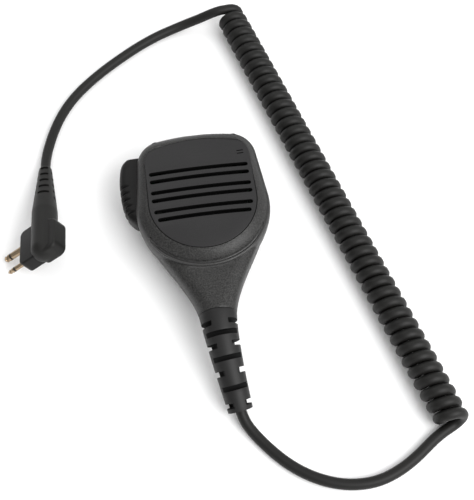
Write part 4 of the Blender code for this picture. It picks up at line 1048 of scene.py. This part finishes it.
rings = []
for y, radius in RELIEF_STUB:
    rings.append(square_ring(Vector((0, y, PARTING_Z)), Vector((0, -1, 0)), radius))
for i in range(RELIEF_STEPS + 1):
    share = i / RELIEF_STEPS
    centre, way = relief_axis(share)
    rings.append(square_ring(centre, way, relief_radius(share)))
relief = as_object("strain_relief_sleeve", lofted(rings))
relief_length = (RELIEF_END - RELIEF_START).length
cuts = bmesh.new()
for station in range(RELIEF_CUTS):
    share = (RELIEF_CUT_START + station * RELIEF_CUT_PITCH) / relief_length
    centre, way = relief_axis(share)
    side, up = square_axes(way)
    from_sides = station % 2 == 0
    reach, other = (side, up) if from_sides else (up, side)
    radius = relief_radius(share)
    turn = Matrix((reach, other, way)).transposed().to_4x4()
    depth = (1 - RELIEF_WEB) * radius + WALL
    width = 3 * radius
    offset = up * (width / 2 - RELIEF_POCKET * radius) if from_sides else Vector((0, 0, 0))
    for sign in (-1, 1):
        middle = centre + offset + reach * sign * (RELIEF_WEB * radius + depth / 2)
        size = Matrix.Diagonal((depth, width, RELIEF_CUT_W, 1.0))
        bmesh.ops.create_cube(cuts, size=1.0, matrix=Matrix.Translation(middle) @ turn @ size)
carve(relief, "DIFFERENCE", as_object("relief_cuts", cuts))
soften(relief, width=0.3 * MM, angle=50.0)
dress(relief, relief_rubber, "rubber", "housing", "strain_relief")
shares_along = [i / RELIEF_MARKS for i in range(2, RELIEF_MARKS - 1)]
marks = [(relief_axis(share)[0], relief_radius(share)) for share in shares_along]
# The walls of the cut-outs are painted near black as painted shade.
paint(relief, pocket_painted_shade, in_pocket)

# %% [markdown]
# ## The plug
# The right-angle plug has a soft tapered handle moulded over a hard block, and two coaxial pins of different
# sizes side by side. It lies tipped over, so the pins point down and to the left.

# %% Plug handle
HANDLE_R = 6.5 * MM
HANDLE_TAIL_R = 3.4 * MM
HANDLE_TAIL_EDGE = 0.5 * MM
HANDLE_SHOULDER = 25.0 * MM
HANDLE_NOSE = 0.9
HANDLE_NOSE_STEPS = 12
HANDLE_POINTS = 56
HANDLE_VOXEL = 0.3 * MM
PLUG_TILT = math.radians(34.0)
HANDLE_SLOTS = 5
HANDLE_SLOT_START = 2.4 * MM
HANDLE_SLOT_PITCH = 5.0 * MM
HANDLE_SLOT_W = 1.7 * MM
HANDLE_SLOT_DEPTH = 1.4 * MM
HANDLE_SLOT_SPAN = 0.52
HANDLE_NOTCH_DEPTH = 0.7 * MM
HEEL_BACK = -9.2 * MM
HEEL_LOW_Y = -14.4 * MM
HEEL_HIGH_Y = 4.6 * MM
BASE_FRONT = 14.3 * MM
BASE_ROOT = -4.0 * MM
BASE_LOW_Y = -19.0 * MM
BASE_HIGH_Y = 3.5 * MM
BASE_T = 7.7 * MM
BASE_DROP = 1.0 * MM
BASE_CORNER = 3.2 * MM
BASE_EDGE = 0.9 * MM
HEEL_OVER = 0.5 * MM
handle_length = (PLUG_NOSE - PLUG_TAIL).length


def plug_frame(tilt):
    """Axes at the plug's nose: x out of its side and down by tilt, y along its handle, z up."""
    nose_way = (PLUG_NOSE - PLUG_TAIL).normalized()
    level = nose_way.cross(Vector((0, 0, 1))).normalized()
    level = -level if level.x > 0 else level
    rise = level.cross(nose_way)
    rise = rise if rise.z > 0 else -rise
    pin_way = math.cos(tilt) * level - math.sin(tilt) * rise
    turn = Matrix((pin_way, nose_way, pin_way.cross(nose_way))).transposed().to_4x4()
    return Matrix.Translation(PLUG_NOSE) @ turn


def plug_block(low, high, grow):
    """A block across the plug's nose between two (x, y) corners, its edges rounded, grown all round."""
    corner = BASE_CORNER + grow
    xs = (low[0] + BASE_CORNER, high[0] - BASE_CORNER)
    ys = (low[1] + BASE_CORNER, high[1] - BASE_CORNER)
    corners = [(x, y, corner) for x in xs for y in ys]
    bottom = -BASE_DROP - BASE_T / 2 - grow
    top = -BASE_DROP + BASE_T / 2 + grow
    levels = edge_levels(bottom, BASE_EDGE, steps=6)
    levels += [(bottom + top - z, inset) for z, inset in reversed(levels)]
    return band_loft(corners, levels, count=72)


def handle_ring(y, radius):
    """A circle of points across the handle."""
    return [Vector((radius * math.cos(t), y, radius * math.sin(t))) for t in round_turns(HANDLE_POINTS)]


plug_place = plug_frame(PLUG_TILT)
rings = [
    handle_ring(-handle_length, HANDLE_TAIL_R - HANDLE_TAIL_EDGE),
    handle_ring(-handle_length + HANDLE_TAIL_EDGE, HANDLE_TAIL_R),
    handle_ring(-HANDLE_SHOULDER, HANDLE_R),
    handle_ring(0.0, HANDLE_R),
]
for i in range(1, HANDLE_NOSE_STEPS):
    angle = math.pi / 2 * i / HANDLE_NOSE_STEPS
    rings.append(handle_ring(HANDLE_NOSE * HANDLE_R * math.sin(angle), HANDLE_R * math.cos(angle)))
handle = as_object("plug_grip", lofted(rings), plug_place)
heel = plug_block((HEEL_BACK, HEEL_LOW_Y), (BASE_CORNER, HEEL_HIGH_Y), HEEL_OVER)
carve(handle, "UNION", as_object("plug_heel", heel, plug_place))
fuse(handle, HANDLE_VOXEL, passes=22)
cuts = bmesh.new()
half = HANDLE_SLOT_W / 2
for i in range(HANDLE_SLOTS):
    y = -handle_length + HANDLE_SLOT_START + i * HANDLE_SLOT_PITCH
    share = (y + handle_length) / (handle_length - HANDLE_SHOULDER)
    radius = HANDLE_TAIL_R + (HANDLE_R - HANDLE_TAIL_R) * share
    span = HANDLE_SLOT_SPAN * radius
    for sign in (-1, 1):
        z0, z1 = sorted((sign * (radius - HANDLE_SLOT_DEPTH), sign * (radius + WALL)))
        add_box(cuts, (-span, y - half, z0), (span, y + half, z1))
        x0, x1 = sorted((sign * (radius - HANDLE_NOTCH_DEPTH), sign * (radius + WALL)))
        notch_y = y + HANDLE_SLOT_PITCH / 2
        add_box(cuts, (x0, notch_y - half, -span), (x1, notch_y + half, span))
hole = plug_block((BASE_ROOT, BASE_LOW_Y), (BASE_FRONT, BASE_HIGH_Y), GAP)
pocket = as_object("handle_pocket", hole, plug_place)
carve(handle, "DIFFERENCE", as_object("handle_cuts", cuts, plug_frame(0.0)), pocket)
dress(handle, plug_rubber, "rubber", "housing", "plug_handle")

# %% [markdown]
# The pins are turned parts, so a profile spun round its axis makes each of them: a sleeve, an insulating
# ring, and a tip with the groove that a socket's spring snaps into.

# %% Plug block and pins
PIN_ROOT = 3.0 * MM
PIN_TIP_L = 4.4 * MM
PIN_RING_L = 0.8 * MM
PIN_SEAM = 0.1 * MM
PIN_MIDDLE_Y = -6.2 * MM
PIN_SPACING = 10.4 * MM
PINS = {
    "large_pin": (PIN_MIDDLE_Y - PIN_SPACING / 2, 1.75 * MM, 14.0 * MM),
    "small_pin": (PIN_MIDDLE_Y + PIN_SPACING / 2, 1.25 * MM, 11.0 * MM),
}


def spun(profile):
    """A turned piece: (radius, height) points, from axis to axis, spun round Z."""
    bm = bmesh.new()
    verts = [bm.verts.new((radius, 0.0, height)) for radius, height in profile]
    edges = [bm.edges.new(pair) for pair in zip(verts, verts[1:])]
    bmesh.ops.spin(bm, geom=verts + edges, cent=(0, 0, 0), axis=(0, 0, 1), angle=math.tau, steps=40,
                   use_merge=True)
    bmesh.ops.remove_doubles(bm, verts=bm.verts, dist=0.001 * MM)
    return bm


block = plug_block((BASE_ROOT, BASE_LOW_Y), (BASE_FRONT, BASE_HIGH_Y), 0.0)
base = as_object("plug_block", block, plug_place)
for name, (y, radius, length) in PINS.items():
    lay = plug_place @ Matrix.Translation((BASE_FRONT, y, -BASE_DROP)) @ Matrix.Rotation(math.pi / 2, 4, "Y")
    socket = add_rod(bmesh.new(), 0, 0, -PIN_ROOT - GAP, WALL, radius + GAP, count=40)
    carve(base, "DIFFERENCE", as_object("pin_socket", socket, lay))
    ring_z = length - PIN_TIP_L - PIN_RING_L
    tip_z = ring_z + PIN_RING_L + PIN_SEAM
    sleeve = ((0, -PIN_ROOT), (radius, -PIN_ROOT), (radius, ring_z - PIN_SEAM), (0, ring_z - PIN_SEAM))
    ring = ((0, ring_z), (radius, ring_z), (radius, ring_z + PIN_RING_L), (0, ring_z + PIN_RING_L))
    tip = (
        (0, tip_z),
        (radius, tip_z),
        (radius, tip_z + 0.30 * PIN_TIP_L),
        (0.78 * radius, tip_z + 0.40 * PIN_TIP_L),
        (0.72 * radius, tip_z + 0.46 * PIN_TIP_L),
        (0.80 * radius, tip_z + 0.53 * PIN_TIP_L),
        (0.95 * radius, tip_z + 0.62 * PIN_TIP_L),
        (0.80 * radius, tip_z + 0.72 * PIN_TIP_L),
        (0.45 * radius, length - 0.08 * PIN_TIP_L),
        (0.22 * radius, length - 0.02 * PIN_TIP_L),
        (0, length),
    )
    for piece, profile, finish, slot in (("sleeve", sleeve, pin_gold, "pin_metal"),
                                         ("ring", ring, ring_black, "pin_insulator"),
                                         ("tip", tip, pin_gold, "pin_metal")):
        made = as_object(f"{name}_{piece}_turned", spun(profile), lay)
        dress(made, finish, slot, "housing", f"{name}_{piece}")
dress(base, block_skin, "panel_plastic", "housing", "plug_base")

# %% [markdown]

# %% [markdown]
# ## Floor and light
# The microphone lies on a white table. Soft light comes from all round, brighter from the right, and two
# large lamps above give the bezel its sheen and leave faint shadows.

# %% Floor and light
FLOOR_DROP = 0.1 * MM
LEFT_LIGHT = 0.40
RIGHT_LIGHT = 1.15
floor_bm = bmesh.new()
below = Matrix.Translation((0, 0, -FLOOR_DROP))
bmesh.ops.create_grid(floor_bm, x_segments=1, y_segments=1, size=2.5, matrix=below)
floor = as_object("floor", floor_bm)
material, tree, shader = blank_finish("white_table")
shader.inputs["Base Color"].default_value = (0.97, 0.97, 0.97, 1.0)
shader.inputs["Roughness"].default_value = 0.9
floor.data.materials.append(material)


def add_lamp(name, at, size, power):
    """A square lamp that shines at the frame's origin."""
    data = bpy.data.lights.new(name, "AREA")
    data.size = size
    data.energy = power
    lamp = bpy.data.objects.new(name, data)
    lamp.location = at
    lamp.rotation_euler = (-Vector(at)).to_track_quat("-Z", "Y").to_euler()
    scene.collection.objects.link(lamp)


add_lamp("softbox", at=(0.6, -0.6, 0.9), size=0.9, power=14.0)
add_lamp("fill", at=(-0.4, 0.8, 1.1), size=1.2, power=4.0)
world = bpy.data.worlds.new("studio")
scene.world = world
world.use_nodes = True
tree = world.node_tree
sky = tree.nodes["Background"]
sky.inputs["Color"].default_value = (1, 1, 1, 1)
facing = tree.nodes.new("ShaderNodeTexCoord")
sides = tree.nodes.new("ShaderNodeSeparateXYZ")
spread = tree.nodes.new("ShaderNodeMapRange")
spread.inputs["From Min"].default_value = -1.0
spread.inputs["To Min"].default_value = LEFT_LIGHT
spread.inputs["To Max"].default_value = RIGHT_LIGHT
tree.links.new(facing.outputs["Generated"], sides.inputs["Vector"])
tree.links.new(sides.outputs["X"], spread.inputs["Value"])
tree.links.new(spread.outputs["Result"], sky.inputs["Strength"])
